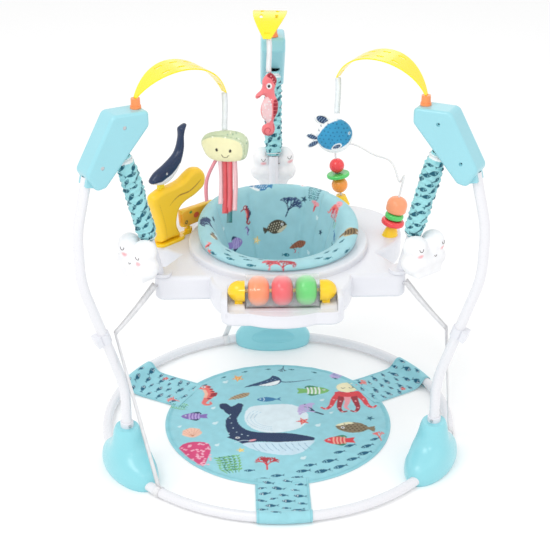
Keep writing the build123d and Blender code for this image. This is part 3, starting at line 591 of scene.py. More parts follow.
def bubbles(k, code):
    k.oval(0, 0, 1, 0.9, code)
    k.oval(0.9, 0.9, 0.45, 0.42, code)


def school(ink, spots, code, mark):
    for x, y, size, turn in spots:
        fish(ink.at(x, y, size, turn), code, mark)


# ------------------------------------------------------------- soft shapes
def pillow(name, outline, thick, soft, material, place, paint, base, step):
    # a stuffed or rounded flat piece: outline in mm, place takes (across, depth, up) into the frame
    edge = curve_points(outline, step, True)
    lo, hi = edge.min(0), edge.max(0)
    xs = np.arange(lo[0], hi[0], step)
    ys = np.arange(lo[1], hi[1], step * 0.87)
    pts = []
    for i, y in enumerate(ys):
        pts.append(np.stack([xs + (i % 2) * step / 2, np.full(len(xs), y)], 1))
    pts = np.concatenate(pts)
    d = edge_distance(edge, pts[:, 0], pts[:, 1])
    pts = pts[inside(edge, pts[:, 0], pts[:, 1]) & (d > 0.55 * step)]
    n = len(edge)
    flat, tris = triangulate(np.concatenate([edge, pts]), [(i, (i + 1) % n) for i in range(n)], 1, 1e-6)
    d = edge_distance(edge, flat[:, 0], flat[:, 1])
    rim = d < 0.02
    t = np.clip(d / soft, 0, 1)
    h = thick / 2 * (1 - (1 - t) ** 2) ** 0.5
    front = np.stack([flat[:, 0], -h, flat[:, 1]], 1)
    back = np.stack([flat[:, 0], h, flat[:, 1]], 1)[~rim]
    verts = np.concatenate([front, back])
    faces = tris + mirrored(tris, rim, len(flat))
    ink = Ink(verts[:, 0], verts[:, 2], base)
    if paint:
        paint(ink, verts)
    world = np.array([place(v) for v in verts])
    return make_object(name, world, faces, material, ink.colour)


def frames_along(points):
    p = np.asarray(points, float)
    tangent = np.gradient(p, axis=0)
    tangent /= np.linalg.norm(tangent, axis=1)[:, None]
    side = np.cross(tangent[0], (0, 0, 1.0))
    if np.linalg.norm(side) < 1e-3:
        side = np.array([1.0, 0, 0])
    sides = []
    for t in tangent:
        side = side - t * (side @ t)
        side = side / np.linalg.norm(side)
        sides.append(side)
    sides = np.array(sides)
    return p, sides, np.cross(tangent, sides)


def end_caps(rows, ring):
    return [tuple(range(ring))[::-1], tuple((rows - 1) * ring + j for j in range(ring))]


def tube(name, points, radius, material):
    # a round cord, wire or thread
    p, sides, ups = frames_along(points)
    ring = 6
    a = np.linspace(0, TAU, ring, endpoint=False)
    verts = (p[:, None] + radius * (np.cos(a)[None, :, None] * sides[:, None]
                                    + np.sin(a)[None, :, None] * ups[:, None])).reshape(-1, 3)
    return make_object(name, verts, grid_faces(len(p), ring, True) + end_caps(len(p), ring), material)


def strap(name, points, sides, width, thick, material, paint=None, base=WHITE):
    # a flat band along the points; sides are the directions of its width
    p = np.asarray(points, float)
    s = np.asarray(sides, float)
    s /= np.linalg.norm(s, axis=1)[:, None]
    t = np.gradient(p, axis=0)
    up = np.cross(s, t)
    up /= np.linalg.norm(up, axis=1)[:, None]
    width = np.broadcast_to(np.asarray(width, float), (len(p),))[:, None]
    cuts = [(-0.5, -0.5), (-0.46, 0.5), (-0.2, 0.62), (0.2, 0.62), (0.46, 0.5), (0.5, -0.5)]
    ring = len(cuts)
    verts = np.stack([p + s * width * a + up * thick * b for a, b in cuts], 1).reshape(-1, 3)
    faces = grid_faces(len(p), ring, True) + end_caps(len(p), ring)
    length = run_length(p)
    ink = Ink(np.tile([a for a, b in cuts], len(p)) * np.repeat(width[:, 0], ring), np.repeat(length, ring), base)
    if paint:
        paint(ink, length[-1])
    return make_object(name, verts, faces, material, ink.colour)


def polar(r, angle, z=0.0):
    a = math.radians(angle)
    return np.array([r * math.cos(a), r * math.sin(a), z])


# ------------------------------------------- moulded parts keep their CAD shape
CAD_PARTS = {
    "tube": ["base_tube_front", "base_tube_right", "base_tube_left",
             *(f"{part}_{leg}" for part in ("lower_leg", "upper_leg") for leg in LEGS)],
    "turquoise": [f"foot_{leg}" for leg in LEGS],
    "aqua": [f"tower_{leg}_shell_{half}" for leg in LEGS for half in "ab"],
    "white": ["strap_clips", "leg_brackets", "tray_top", "tray_base", "seat_ring", "spring_anchors"],
    "steel": ["frame_screws"],
    "orange": ["ferrules"],
    "yellow": [f"crescent_{leg}" for leg in LEGS],
    "amber": ["drum_caps", "wire_sockets", "toy_stand"],
    "clear": ["drum"],
    "wire": ["bead_wire"],
    "drum_orange": ["drum_bead_orange"],
    "drum_red": ["drum_bead_red"],
    "drum_green": ["drum_bead_green"],
    "bead_orange": ["maze_ball"],
    "bead_green": ["maze_disc", "burger_lettuce"],
    "bead_red": ["maze_apple", "burger_tomato"],
    "bead_peach": ["burger_bun"],
}
for kind, names in CAD_PARTS.items():
    for name in names:
        NODES[name].data.materials.clear()
        NODES[name].data.materials.append(MAT[kind])


# --------------------------------------------- moulded bed under the bead drum
def smooth_step(t):
    t = np.clip(t, 0.0, 1.0)
    return t * t * (3 - 2 * t)


def make_drum_bed():
    # a trough round the drum and a shallow shelf under each cap, set into the tray's well
    axis_y, axis_z = -241.0, 467.0
    lip_top, tray_top, bottom = 438.3, 461.8, 428.3
    drum_end, wall_radius, cap_radius = 76.8, 36.4, 23.5
    xs = np.concatenate([np.arange(-112.8, -78.3, 2.3), [-78.2, -77.9, -77.5, -77.1, -76.8],
                         np.linspace(-75.5, 75.5, 61), [76.8, 77.1, 77.5, 77.9, 78.2], np.arange(80.6, 113.0, 2.3)])
    ys = np.linspace(-278.3, -203.7, 76)
    away = ys - axis_y

    def hollow(radius):
        return axis_z - np.sqrt(np.maximum(radius ** 2 - away ** 2, 0.0))

    trough = np.minimum(hollow(wall_radius), np.where(away < 0, lip_top, tray_top))
    shelf = np.where(away < 0, 443.5 - 5.2 * smooth_step((-away - 18.0) / 16.0),
                     np.minimum(hollow(cap_radius), tray_top))
    part = smooth_step((np.abs(xs) - drum_end) / 1.4)
    top = trough[None, :] * (1 - part[:, None]) + shelf[None, :] * part[:, None]
    rows, cols = top.shape
    gx, gy = np.meshgrid(xs, ys, indexing="ij")
    verts = np.concatenate([np.stack([gx, gy, top], 2).reshape(-1, 3),
                            np.stack([gx, gy, np.full_like(top, bottom)], 2).reshape(-1, 3)])
    rim = [i * cols for i in range(rows)] + [(rows - 1) * cols + j for j in range(1, cols)]
    rim += [i * cols + cols - 1 for i in range(rows - 2, -1, -1)] + [j for j in range(cols - 2, 0, -1)]
    o = make_object("drum_bed", verts, slab_faces(rows, cols, rim, False), MAT["white"])
    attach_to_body(o, "tray")


make_drum_bed()


# ---------------------------------------------------------------- play mat
MAT_R = 266.0
HEM_R = 254.0
RING_R = 400.0
RING_Z = 14.0
TUBE_R = 11.0
LOOP_WIDTH = 118.0


def mat_print(ink):
    # sea floor with generic sea animals; x to the right, y to the back
    k = ink
    # the large whale lies round the middle
    k.at(0, 0)
    k.shape([(-133, 73), (-125, 41), (-113, 27), (-118, 18), (-123, 5), (-123, -30), (-114, -65),
             (-121, -69), (-95, -87), (-84, -100), (-68, -100), (-54, -90), (-20, -92), (13, -95), (48, -95),
             (75, -92), (83, -80), (76, -74), (49, -64), (14, -55), (-48, -50), (-76, -38), (-92, -14),
             (-97, 10), (-92, 27), (-86, 44), (-84, 71), (-108, 62)], NAVY)
    k.shape([(-86, -98), (-66, -119), (-34, -137), (-1, -147), (27, -148), (52, -137), (72, -109),
             (82, -89), (48, -92), (0, -94), (-50, -92)], ICE)
    k.shape([(-137, 60), (-137, 78), (-122, 80), (-111, 66), (-103, 70), (-92, 81), (-81, 74), (-84, 62), (-98, 50),
             (-109, 42), (-124, 48)], NAVY)
    for x, y in ((-114, 14), (-110, -8), (-106, -30), (-98, -48), (-86, -58), (-112, 30), (-72, -64), (-116, -52)):
        k.oval(x, y, 1.6, 1.6, ICE)
    k.oval(-62, -84, 9, 4, "#e79aa6", 20)
    for i in range(9):
        x = -62 + 15 * i
        k.line([(x, -100), (x + 6, -116), (x + 16, -130)], 1.6, "#8fb6cc")
    k.shape([(-79, 22), (-66, 62), (-20, 72), (36, 70), (68, 40), (72, 4), (52, -34), (4, -52),
             (-44, -46), (-72, -18)], "#e4f1f6")
    eye(k, -96, -72, (5, 4), (2.4, 2.2), "#222222")
    k.line([(-104, -94), (-84, -84), (-66, -86)], 1.8, ICE)
    for r in (44, 52, 60):
        k.line([(-7 + r * math.cos(a) * 1.1, 10 + r * math.sin(a) * 0.86)
                for a in np.linspace(2.3, 4.6, 9)], 1.2, "#b7d4e2")
    star(k.at(59, -6, 17, 20), RED, "#f7b8a0")
    star(k.at(227, 112, 11, 10), "#2f6f86")
    star(k.at(219, 2, 11, 40), "#2f6f86")
    star(k.at(-89, -125, 11, 12), YELLOW, "#fff1c0")
    star(k.at(-93, 200, 17, 30), "#f0a04b", "#fbe0b0")
    seahorse(k.at(-172, 122, 50, 0), SALMON, DARKRED, "#f8c0a8")
    stripe_fish(k.at(-198, 25, 32, 0, -1), PURPLE, LILAC, NAVY)
    scallop(k.at(-202, -49, 24, 10), PEACH, "#d98d70")
    fan(k.at(-180, -134, 56, 0), "#de4a7c", "#f9bccd")
    weed(k.at(-115, -178, 37, 12), GREEN, DEEPGREEN, 5)
    coral(k.at(-31, -176, 28, 0), RED, "#b8323e", 0.11, 40, 5)
    cone_shell(k.at(-91, 112, 30, 30), "#b59a78", "#7c6048")
    k.at(0, 0).line([(8, 180), (40, 177), (88, 187)], 3.4, "#2d4c72", True, [1.3, 0.8, 0.4])
    k.shape([(-78, 155), (-45, 162), (-18, 159), (6, 167), (16, 182), (9, 201), (-6, 210), (-14, 197), (-34, 183),
             (-60, 168)], "#2d4c72")
    k.shape([(-42, 163), (-14, 161), (6, 170), (11, 186), (-4, 181), (-24, 171)], "#f4f7f9")
    for x, y in ((-6, 196), (0, 190), (-20, 182), (-36, 174), (-10, 188)):
        k.oval(x, y, 1.3, 1.3, "#a9c7de")
    fish(k.at(-18, 97, 30, 0, -1), BLUE, ICE)
    coral(k.at(76, 44, 38, 58), NAVY, LILAC, 0.1, 34, 5)
    stripe_fish(k.at(92, 134, 40, 0), GREEN, WHITE, DEEPGREEN)
    octopus(k.at(174, 90, 58, 0), RED, DARKRED, CREAM)
    turtle_fish(k.at(180, -36, 46, 170, -1), "#8b7a5e", "#4e4031", CREAM)
    stripe_fish(k.at(139, -91, 36, 0, -1), RED, "#f4b6a0", DEEPGREEN)
    coral(k.at(232, -72, 22, 10), SALMON, None, 0.12, 30, 4)
    weed(k.at(-236, 74, 22, 70), GREEN, DEEPGREEN, 3)
    coral(k.at(20, 238, 20, 170), NAVY, None, 0.12, 30, 3)
    scallop(k.at(152, 206, 16, 200), LILAC, PURPLE)
    school(k, [(162, -113, 15, 200), (202, -116, 17, 205), (136, -139, 15, 200), (193, -145, 19, 200),
               (165, -168, 17, 200), (111, -174, 19, 195), (67, -189, 15, 190), (134, -198, 18, 200),
               (50, -212, 17, 190), (93, -213, 20, 195), (34, -237, 14, 190), (-8, -229, 16, 185),
               (-37, -240, 13, 180), (-70, -207, 13, 185), (222, -88, 13, 205)], "#1b5f7c", AQUA)
    for i in range(9):
        a = math.radians(150 - 14 * i)
        fish(k.at(243 * math.cos(a), 243 * math.sin(a), 8, math.degrees(a) - 90), TEAL, AQUA)
    for x, y, s in ((-125, 182, 6), (-154, 60, 5), (-149, -8, 6), (-144, -102, 5), (51, -162, 6),
                    (110, 88, 5), (93, -25, 6), (128, 30, 4), (-232, -20, 4)):
        bubbles(k.at(x, y, s), "#d9eef2")
    k.at(0, 0)


def make_mat():
    # puckered disc with a stitched hem, printed on top and pale beneath
    step = 2.1
    rows = int(MAT_R / step)
    points = [(0.0, 0.0)]
    for i in range(1, rows + 1):
        r = MAT_R * i / rows
        n = 6 * max(2, int(round(r * TAU / step / 6.0)))
        for j in range(n):
            a = TAU * j / n
            points.append((r * math.cos(a), r * math.sin(a)))
    xy, tris = triangulate(points, [], 0, 1e-7)
    r = np.hypot(xy[:, 0], xy[:, 1])
    a = np.arctan2(xy[:, 1], xy[:, 0])
    pucker = 0.5 * np.sin(38 * a) * np.clip((r - 225) / 40, 0, 1)
    wave = np.array([noise.noise(Vector((x * 0.012, y * 0.012, 3.0))) for x, y in xy])
    top = 2.6 + 0.9 * wave + pucker
    hem = np.clip((r - HEM_R) / 3.0, 0, 1)
    top = top + 0.5 * hem - 0.9 * np.exp(-((r - HEM_R) / 1.6) ** 2)
    on_edge = r > MAT_R - 0.5
    top = np.where(on_edge, 1.6, top)
    low = np.where(on_edge, 1.0, 0.4)
    n = len(xy)
    verts = np.concatenate([np.column_stack([xy, top]), np.column_stack([xy, low])])
    faces = tris + [tuple(i + n for i in f[::-1]) for f in tris]
    edge = np.where(on_edge)[0]
    edge = edge[np.argsort(a[edge])]
    for i in range(len(edge)):
        p, q = int(edge[i]), int(edge[(i + 1) % len(edge)])
        faces.append((p, p + n, q + n, q))
    ink = Ink(np.tile(xy[:, 0], 2), np.tile(xy[:, 1], 2), AQUA)
    mat_print(ink)
    ring = np.tile(r, 2)
    band = np.exp(-((ring - 258.0) / 3.5) ** 2)[:, None] * 0.35
    ink.colour = ink.colour * (1 - band) + rgb("#5fb3c0") * band
    ink.colour[n:] = rgb("#e9ecee")
    o = make_object("play_mat_cloth", verts, faces, MAT["print"], ink.colour)
    attach(o, "frame", "play_mat")
    return o


def flap_print(ink, front):
    spots = [(-30, 16, 11), (12, 12, 9), (40, 24, 12), (-44, 36, 8), (-8, 38, 12), (28, 46, 8), (-38, 56, 11),
             (2, 64, 9), (38, 68, 12), (-20, 76, 8), (-46, 84, 10), (12, 86, 12), (42, 98, 9), (-24, 102, 12),
             (6, 112, 8), (-44, 118, 9), (30, 122, 13), (-10, 132, 11), (48, 142, 9), (-38, 144, 13),
             (12, 154, 12), (40, 164, 9), (-18, 166, 9)]
    for x, y, size in spots:
        fish(ink.at(x, y, 1.25 * size, 182 + 14 * math.sin(0.7 * x + y)), "#1b5f7c", "#e9f4f6")
    if not front:
        star(ink.at(-40, 100, 10, 5), RED, PEACH)
        coral(ink.at(36, 30, 18, 0), SALMON, None, 0.13, 32, 4)


def make_flap(name, angle, front):
    # cloth band from under the mat's edge over the floor tube and back beneath it
    path = [(MAT_R - 26, 3.5), (MAT_R - 12, 3.3), (MAT_R + 2, 2.9), (300, 2.7), (330, 2.9), (356, 3.4),
            (372, 6.0), (382, 13.0)]
    for a in np.radians(np.arange(150, -151, -20)):
        path.append((RING_R + 13.4 * math.cos(a), RING_Z + 13.4 * math.sin(a)))
    outer = curve_points([p for p in path if p[1] > 0.4], 2.4)
    cols = 54
    half = LOOP_WIDTH / 2
    length = run_length(outer)
    t = np.gradient(outer, axis=0)
    nrm = np.stack([-t[:, 1], t[:, 0]], 1)
    nrm /= np.linalg.norm(nrm, axis=1)[:, None]
    ca, sa = math.cos(math.radians(angle)), math.sin(math.radians(angle))

    def sheet_rows(thick):
        rows = []
        for i in range(len(outer)):
            r0, z0 = outer[i] - nrm[i] * thick
            for j in range(cols):
                y = -half + 2 * half * j / (cols - 1)
                # the outer part follows the floor tube's curve
                on_tube = min(1.0, max(0.0, (length[i] - 60) / 50.0))
                r = r0 + (math.sqrt(RING_R ** 2 - y * y) - RING_R) * on_tube
                ripple = 0.5 * math.sin(length[i] * 0.12 + 0.08 * y) + 0.35 * math.sin(y * 0.35)
                lift = ripple * (1 - on_tube * 0.7) if thick == 0 else 0.0
                z = max(z0 + 0.6 * lift, 0.3)
                rows.append((r * ca - y * sa, r * sa + y * ca, z))
        return rows

    top = sheet_rows(0.0)
    low = sheet_rows(1.2)
    n = len(outer)
    rim = list(range(cols)) + [i * cols + cols - 1 for i in range(1, n)]
    rim += [(n - 1) * cols + j for j in range(cols - 2, -1, -1)] + [i * cols for i in range(n - 2, 0, -1)]
    u = np.tile(np.tile(np.linspace(-half, half, cols), n), 2)
    v = np.tile(np.repeat(length, cols), 2)
    ink = Ink(u, v, AQUA)
    flap_print(ink, front)
    hem = np.exp(-((np.abs(u) - 55.0) / 1.3) ** 2)[:, None] * 0.35
    ink.colour = ink.colour * (1 - hem) + rgb("#4f9fae") * hem
    o = make_object(name, np.array(top + low), slab_faces(n, cols, rim, True), MAT["print"], ink.colour)
    attach(o, "frame", "play_mat")
    return o, length[-1]


mat = make_mat()
for flap_name, flap_angle in (("right", 30.0), ("left", 150.0), ("front", 270.0)):
    flap, flap_len = make_flap(f"mat_loop_{flap_name}", flap_angle, flap_name == "front")


# -------------------------------------------------------------------- seat
SEAT_FRONT = [(172, 477), (177, 482), (173.5, 488.5), (160, 491), (142, 489), (128, 482), (119, 464),
              (111, 420), (99, 350), (92, 322)]
SEAT_BACK = [(172, 477), (177, 528), (174, 535), (166, 536), (158, 527), (150, 503), (138, 462),
             (123, 410), (105, 350), (93, 322)]
SEAT_OUT = [(93, 309), (100, 316), (106, 350), (122, 400), (138, 440), (147, 466), (150, 474), (172, 477)]


def seat_rows(theta):
    # inner profile at an angle: low front roll, high back, and a smooth change at the sides
    w = (1 + math.sin(theta)) / 2
    w = w * w * (3 - 2 * w)
    return (1 - w) * np.array(SEAT_FRONT, float) + w * np.array(SEAT_BACK, float)


# millimetres of print to a degree round the rim
SEAT_ARC = 2.6
SEAM_ANGLES = (28.0, 66.0, 112.0, 150.0, 205.0, 250.0, 290.0, 335.0)


def make_seat():
    cols = 420
    n = 190
    pts = np.zeros((n, cols, 3))
    down = np.zeros((n, cols))
    angles = np.arange(cols) * 360.0 / cols
    for j, deg in enumerate(angles):
        th = math.radians(deg)
        line = curve_points(seat_rows(th), 3.0)
        d = run_length(line)
        s = np.linspace(0, d[-1], n)
        r = np.interp(s, d, line[:, 0])
        z = np.interp(s, d, line[:, 1])
        seam = min(abs((deg - a + 180) % 360 - 180) for a in SEAM_ANGLES)
        puff = 1 - math.exp(-(seam / 3.2) ** 2)
        deep = np.clip((s - 50) / 40, 0, 1) * np.clip((d[-1] - s) / 40, 0, 1)
        r = r + 4.5 * (1 - puff) * deep - 1.5 * deep
        wave = np.array([noise.noise(Vector((3 * math.cos(th), 3 * math.sin(th), v * 0.022)))
                         for v in s])
        r = r + 3.0 * wave * deep
        # the back panel laps over the side at the right, with its edge at 47 degrees
        lap = np.clip((47.0 - deg) / 1.6, 0, 1) * np.clip((deg + 2.0) / 40.0, 0, 1) if deg <= 47 else 0.0
        r = r - 7.0 * lap * np.clip((s - 42) / 26, 0, 1) * np.clip((d[-1] - s) / 60, 0, 1)
        z = z + 1.0 * wave * np.clip(1 - np.abs(s - 30) / 30, 0, 1)
        pts[:, j, 0] = r * math.cos(th)
        pts[:, j, 1] = r * math.sin(th)
        pts[:, j, 2] = z
        down[:, j] = s
    return pts, down, angles


seat_pts, seat_down, seat_angles = make_seat()


def build_seat():
    n, cols = seat_pts.shape[:2]
    out = curve_points(SEAT_OUT, 8.0)
    m = len(out)
    th = np.radians(seat_angles)
    back = np.zeros((m - 1, cols, 3))
    for i in range(m - 1):
        back[i, :, 0] = out[i, 0] * np.cos(th)
        back[i, :, 1] = out[i, 0] * np.sin(th)
        back[i, :, 2] = out[i, 1]
    # closed ring section: inner rows, then the outer rows back up to the rim
    verts = np.concatenate([seat_pts.reshape(-1, 3), back.reshape(-1, 3)])
    rows = n + m - 1
    faces = grid_faces(rows, cols, True)
    faces += [((rows - 1) * cols + j, j, (j + 1) % cols, (rows - 1) * cols + (j + 1) % cols)[::-1]
              for j in range(cols)]
    u = np.tile(seat_angles * SEAT_ARC, n + m - 1)
    v = -np.concatenate([seat_down.reshape(-1), np.full((m - 1) * cols, 900.0)])
    ink = Ink(u, v, "#a2d1da")
    seat_motifs(ink)
    piping = np.exp(-((v + 5.0) / 1.2) ** 2)[:, None] * 0.55
    ink.colour = ink.colour * (1 - piping) + rgb("#3f8f9e") * piping
    o = make_object("seat_bucket_cloth", verts, faces, MAT["satin"], ink.colour)
    attach(o, "seat", "seat_bucket")


def seat_motifs(k):
    def at(deg, down, size, turn=0.0, flip=1):
        # an angle round the rim and a distance down from it; flip -1 turns a motif's nose round
        return k.at(deg * SEAT_ARC, -down, size, turn, flip)

    # back wall
    turtle_fish(at(102, 70, 24, 4, -1), BLUE, "#dceef6", "#eef4f6")
    fish(at(77, 60, 13, 170, -1), "#7fb8a4", WHITE)
    scallop(at(68, 62, 9, 20, -1), WHITE, "#e9a0a8")
    coral(at(77, 116, 27, 20, -1), NAVY, "#3a4f7a", 0.085, 36, 5)
    star(at(65, 99, 9, 10), "#2a4f66")
    weed(at(56.5, 78, 19, 0), "#1d6578", "#2c8288", 3)
    coral(at(53, 103, 15, 10), RED, PINK, 0.22, 34, 4)
    turtle_fish(at(91, 168, 31, -12, 1), "#4f473a", "#d8cdb4", "#cfc6ac")
    seahorse(at(118.5, 130, 24, 0, -1), DARKRED, NAVY, SALMON)
    seahorse(at(120.5, 166, 11, 0, -1), PURPLE, NAVY, LILAC)
    star(at(111, 195, 11, 20), YELLOW, WHITE)
    stripe_fish(at(139, 180, 28, 12, -1), "#9a83c4", LILAC, NAVY)
    cone_shell(at(66, 205, 26, -24, -1), "#a5654c", "#5c342a")
    coral(at(178, 62, 24, 34, -1), NAVY, "#34466e", 0.11, 34, 5)
    star(at(166, 76, 8, 0), "#2a4f66")
    turtle_fish(at(195, 56, 16, 195, 1), "#6d5c49", "#e6dcc4", CREAM)
    # the wing at the right
    octopus(at(27, 84, 19, 0, -1), SALMON, "#d63f55", PINK)
    weed(at(20, 104, 9, 0), GREEN, DEEPGREEN, 2)
    stripe_fish(at(347, 44, 26, 70, 1), "#8a7350", "#4c3b2b", "#c7b48a")
    fish(at(12, 118, 15, 200), BLUE, ICE)
    fish(at(8, 136, 12, 190), TEAL, AQUA)
    star(at(38, 150, 8, 0), "#2a4f66")
    # front roll, drawn the other way up
    coral(at(263, 25, 18, 190), "#ee7f86", "#e2596a", 0.1, 40, 6)
    coral(at(271, 23, 25, 176), "#c8323f", "#b02c3a", 0.07, 46, 6)
    star(at(211, 12, 9, 0), SALMON)
    seahorse(at(206, 22, 12, 180, -1), SALMON, DARKRED, PINK)
    for i, deg in enumerate((216, 222, 227, 232, 238, 244, 249, 254, 300, 306, 312, 318, 325, 333)):
        fish(at(deg, 14 + 13 * ((i * 2) % 3) + 4 * (i % 2), 9.5, 180 + 8 * math.sin(i)), TEAL, AQUA)
    for deg, down in ((300, 58), (232, 62), (190, 70), (51, 214), (345, 80), (130, 90), (48, 130), (150, 130)):
        bubbles(at(deg, down, 4.5), "#d7ecf0")
    weed(at(256, 76, 9, 180, -1), GREEN, DEEPGREEN, 2)
    # lower inside walls
    for i, deg in enumerate(range(0, 360, 24)):
        fish(at(deg + 7, 232 + 12 * (i % 3), 12, 180 * (i % 2)), TEAL, AQUA)
        if i % 3 == 0:
            star(at(deg - 5, 222, 8, 10 * i), (YELLOW, RED, LILAC)[(i // 3) % 3])
    for i, deg in enumerate((205, 232, 258, 284, 310, 334)):
        stripe_fish(at(deg, 128 + 26 * (i % 2), 20, 180 + 12 * math.sin(i), -1), (SALMON, GREEN, PURPLE)[i % 3],
                    WHITE, (DARKRED, DEEPGREEN, NAVY)[i % 3])
        coral(at(deg + 13, 168, 16, 180, -1), (NAVY, SALMON)[i % 2], None, 0.12, 34, 4)


build_seat()


def build_floor():
    # padded floor with the two leg holes and the strip between them
    outer = [(97 * math.cos(a), 97 * math.sin(a)) for a in np.linspace(0, TAU, 96, endpoint=False)]

    def hole(cx):
        pts = []
        for sx, sy, a0 in ((1, 1, 0), (-1, 1, 90), (-1, -1, 180), (1, -1, 270)):
            for a in np.radians(np.linspace(a0, a0 + 90, 7)):
                pts.append((cx + sx * 8 + 20 * math.cos(a), sy * 34 + 20 * math.sin(a)))
        return pts

    loops = [np.array(loop) for loop in (outer, hole(-50.0), hole(50.0))]
    edge, segs = [], []
    for loop in loops:
        base = len(edge)
        edge += list(loop)
        segs += [(base + i, base + (i + 1) % len(loop)) for i in range(len(loop))]
    xs, ys = np.meshgrid(np.arange(-96, 97, 3.0), np.arange(-96, 97, 3.0))
    pts = np.stack([xs.ravel() + 0.7 * (np.arange(xs.size) % 2), ys.ravel()], 1)
    def rim_distance(xy):
        return np.min([edge_distance(loop, xy[:, 0], xy[:, 1]) for loop in loops], axis=0)

    def in_hole(xy):
        return np.any([inside(loop, xy[:, 0], xy[:, 1]) for loop in loops[1:]], axis=0)

    pts = pts[inside(loops[0], pts[:, 0], pts[:, 1]) & ~in_hole(pts) & (rim_distance(pts) > 1.5)]
    flat, tris = triangulate(np.concatenate([np.array(edge), pts]), segs, 1, 1e-6)
    centres = np.array([flat[list(f)].mean(0) for f in tris])
    tris = [f for f, hollow in zip(tris, in_hole(centres)) if not hollow]
    d = rim_distance(flat)
    rim = d < 0.05
    h = 5.0 * np.sqrt(1 - (1 - np.clip(d / 9.0, 0, 1)) ** 2)
    mid = 313.0
    verts = np.concatenate([np.column_stack([flat, mid + h]), np.column_stack([flat, mid - h * 1.2])[~rim]])
    faces = tris + mirrored(tris, rim, len(flat))
    ink = Ink(verts[:, 0], verts[:, 1], "#86cbd4")
    fish(ink.at(0, 62, 13), TEAL, AQUA)
    star(ink.at(0, -40, 9), YELLOW)
    o = make_object("seat_floor_pad", verts, faces, MAT["print"], ink.colour)
    attach(o, "seat", "seat_bucket")


build_floor()

# ------------------------------------------------- springs, gaiters, tethers
SPRING_TOP = np.array([364.0, 740.0])
SPRING_LOW = np.array([317.0, 549.0])
SPAN = float(np.linalg.norm(SPRING_LOW - SPRING_TOP))


def blend_down(o, node):
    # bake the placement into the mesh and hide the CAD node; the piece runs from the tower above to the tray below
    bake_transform(o)
    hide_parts(node)


def ring_point(centre, radius, a, side, up):
    return centre + radius * (math.cos(a) * side + math.sin(a) * up)


for leg, angle in LEGS.items():
    top = polar(SPRING_TOP[0], angle, SPRING_TOP[1])
    axis = polar(SPRING_LOW[0], angle, SPRING_LOW[1]) - top
    axis /= np.linalg.norm(axis)
    side = polar(1.0, angle + 90)
    up = np.cross(axis, side)
    phase = gaiter_draws.uniform(0, TAU, 6)
    # coil spring inside
    turns = 15
    t = np.linspace(0, 1, turns * 14)
    helix = [top + axis * (3 + (SPAN - 6) * s) + 9.2 * (math.cos(TAU * turns * s) * side
                                                       + math.sin(TAU * turns * s) * up) for s in t]
    coil = tube(f"coil_spring_{leg}", helix, 1.3, MAT["steel"])
    blend_down(coil, "springs")
    # gathered cloth sleeve
    ring, rows = 84, 150
    a = np.linspace(0, TAU, ring, endpoint=False)
    verts, us, vs = [], [], []
    s_out = np.linspace(-5, SPAN - 2, rows)
    for s in s_out:
        r0 = np.interp(s, [-5, 2, 12, 28, SPAN - 26, SPAN - 10, SPAN - 2], [13.8, 16, 19, 21.5, 21.3, 18.5, 15])
        ends = max(0.0, 1 - min(s + 5, SPAN - 2 - s) / 22.0)
        wrinkle = np.array([3.0 * noise.noise(Vector((1.3 * math.cos(b + phase[0]), 1.3 * math.sin(b + phase[0]),
                                                      s * 0.105 + 7 * phase[1])))
                            + 2.3 * noise.noise(Vector((2.2 * math.cos(b), 2.2 * math.sin(b), s * 0.23 + phase[2])))
                            for b in a])
        wrinkle = wrinkle + 0.9 * np.sin(s * 0.5 + 1.8 * np.sin(a + phase[3]) + 1.7 * math.sin(s * 0.06 + phase[5]))
        gather = 1.1 * ends * np.sin(14 * a + phase[4])
        r = r0 - 1.4 + wrinkle * (1 - 0.6 * ends) + gather
        for k in range(ring):
            verts.append(ring_point(top + axis * s, r[k], a[k], side, up))
            us.append((a[k] * 20.0 + 40.0) % (TAU * 20.0))
            vs.append(s)
    inner = []
    for s in s_out[::-6]:
        for k in range(ring):
            inner.append(ring_point(top + axis * s, 12.2, a[k], side, up))
            us.append(0.0)
            vs.append(-50.0)
    total_rows = rows + len(s_out[::-6])
    faces = grid_faces(total_rows, ring, True)
    faces += [((total_rows - 1) * ring + j, j, (j + 1) % ring, (total_rows - 1) * ring + (j + 1) % ring)[::-1]
              for j in range(ring)]
    ink = Ink(np.array(us), np.array(vs), "#9ad6dc")
    for i in range(12):
        for j in range(5):
            x = (i % 2) * 12 + 25 * j + 8
            y = 17 + 15.5 * i + 4 * math.sin(2.1 * j + i)
            size, turn = 11.5 + 2 * math.sin(5 * i + 3 * j), 205 + 26 * math.sin(3 * i + j)
            fish(ink.at(x, y, size, turn), "#17586c", "#9ad6dc")
    cuff = (np.array(vs) < 9) & (np.array(vs) > 0)
    ink.colour[cuff] = rgb("#e9eff0")
    sleeve = make_object(f"gaiter_{leg}", np.array(verts + inner), faces, MAT["satin"], ink.colour)
    blend_down(sleeve, "gaiters")
    # elastic cuffs over both ends
    for tag, s, radius in (("top", 3.0, 16.2), ("low", SPAN - 8.0, 18.0)):
        loop = [ring_point(top + axis * s, radius, b, side, up) for b in np.linspace(0, TAU, 48, endpoint=False)]
        loop.append(loop[0])
        cord = tube(f"gaiter_band_{leg}_{tag}", loop, 0.9, MAT["webbing"])
        attach(cord, "frame" if tag == "top" else "tray", "gaiters")

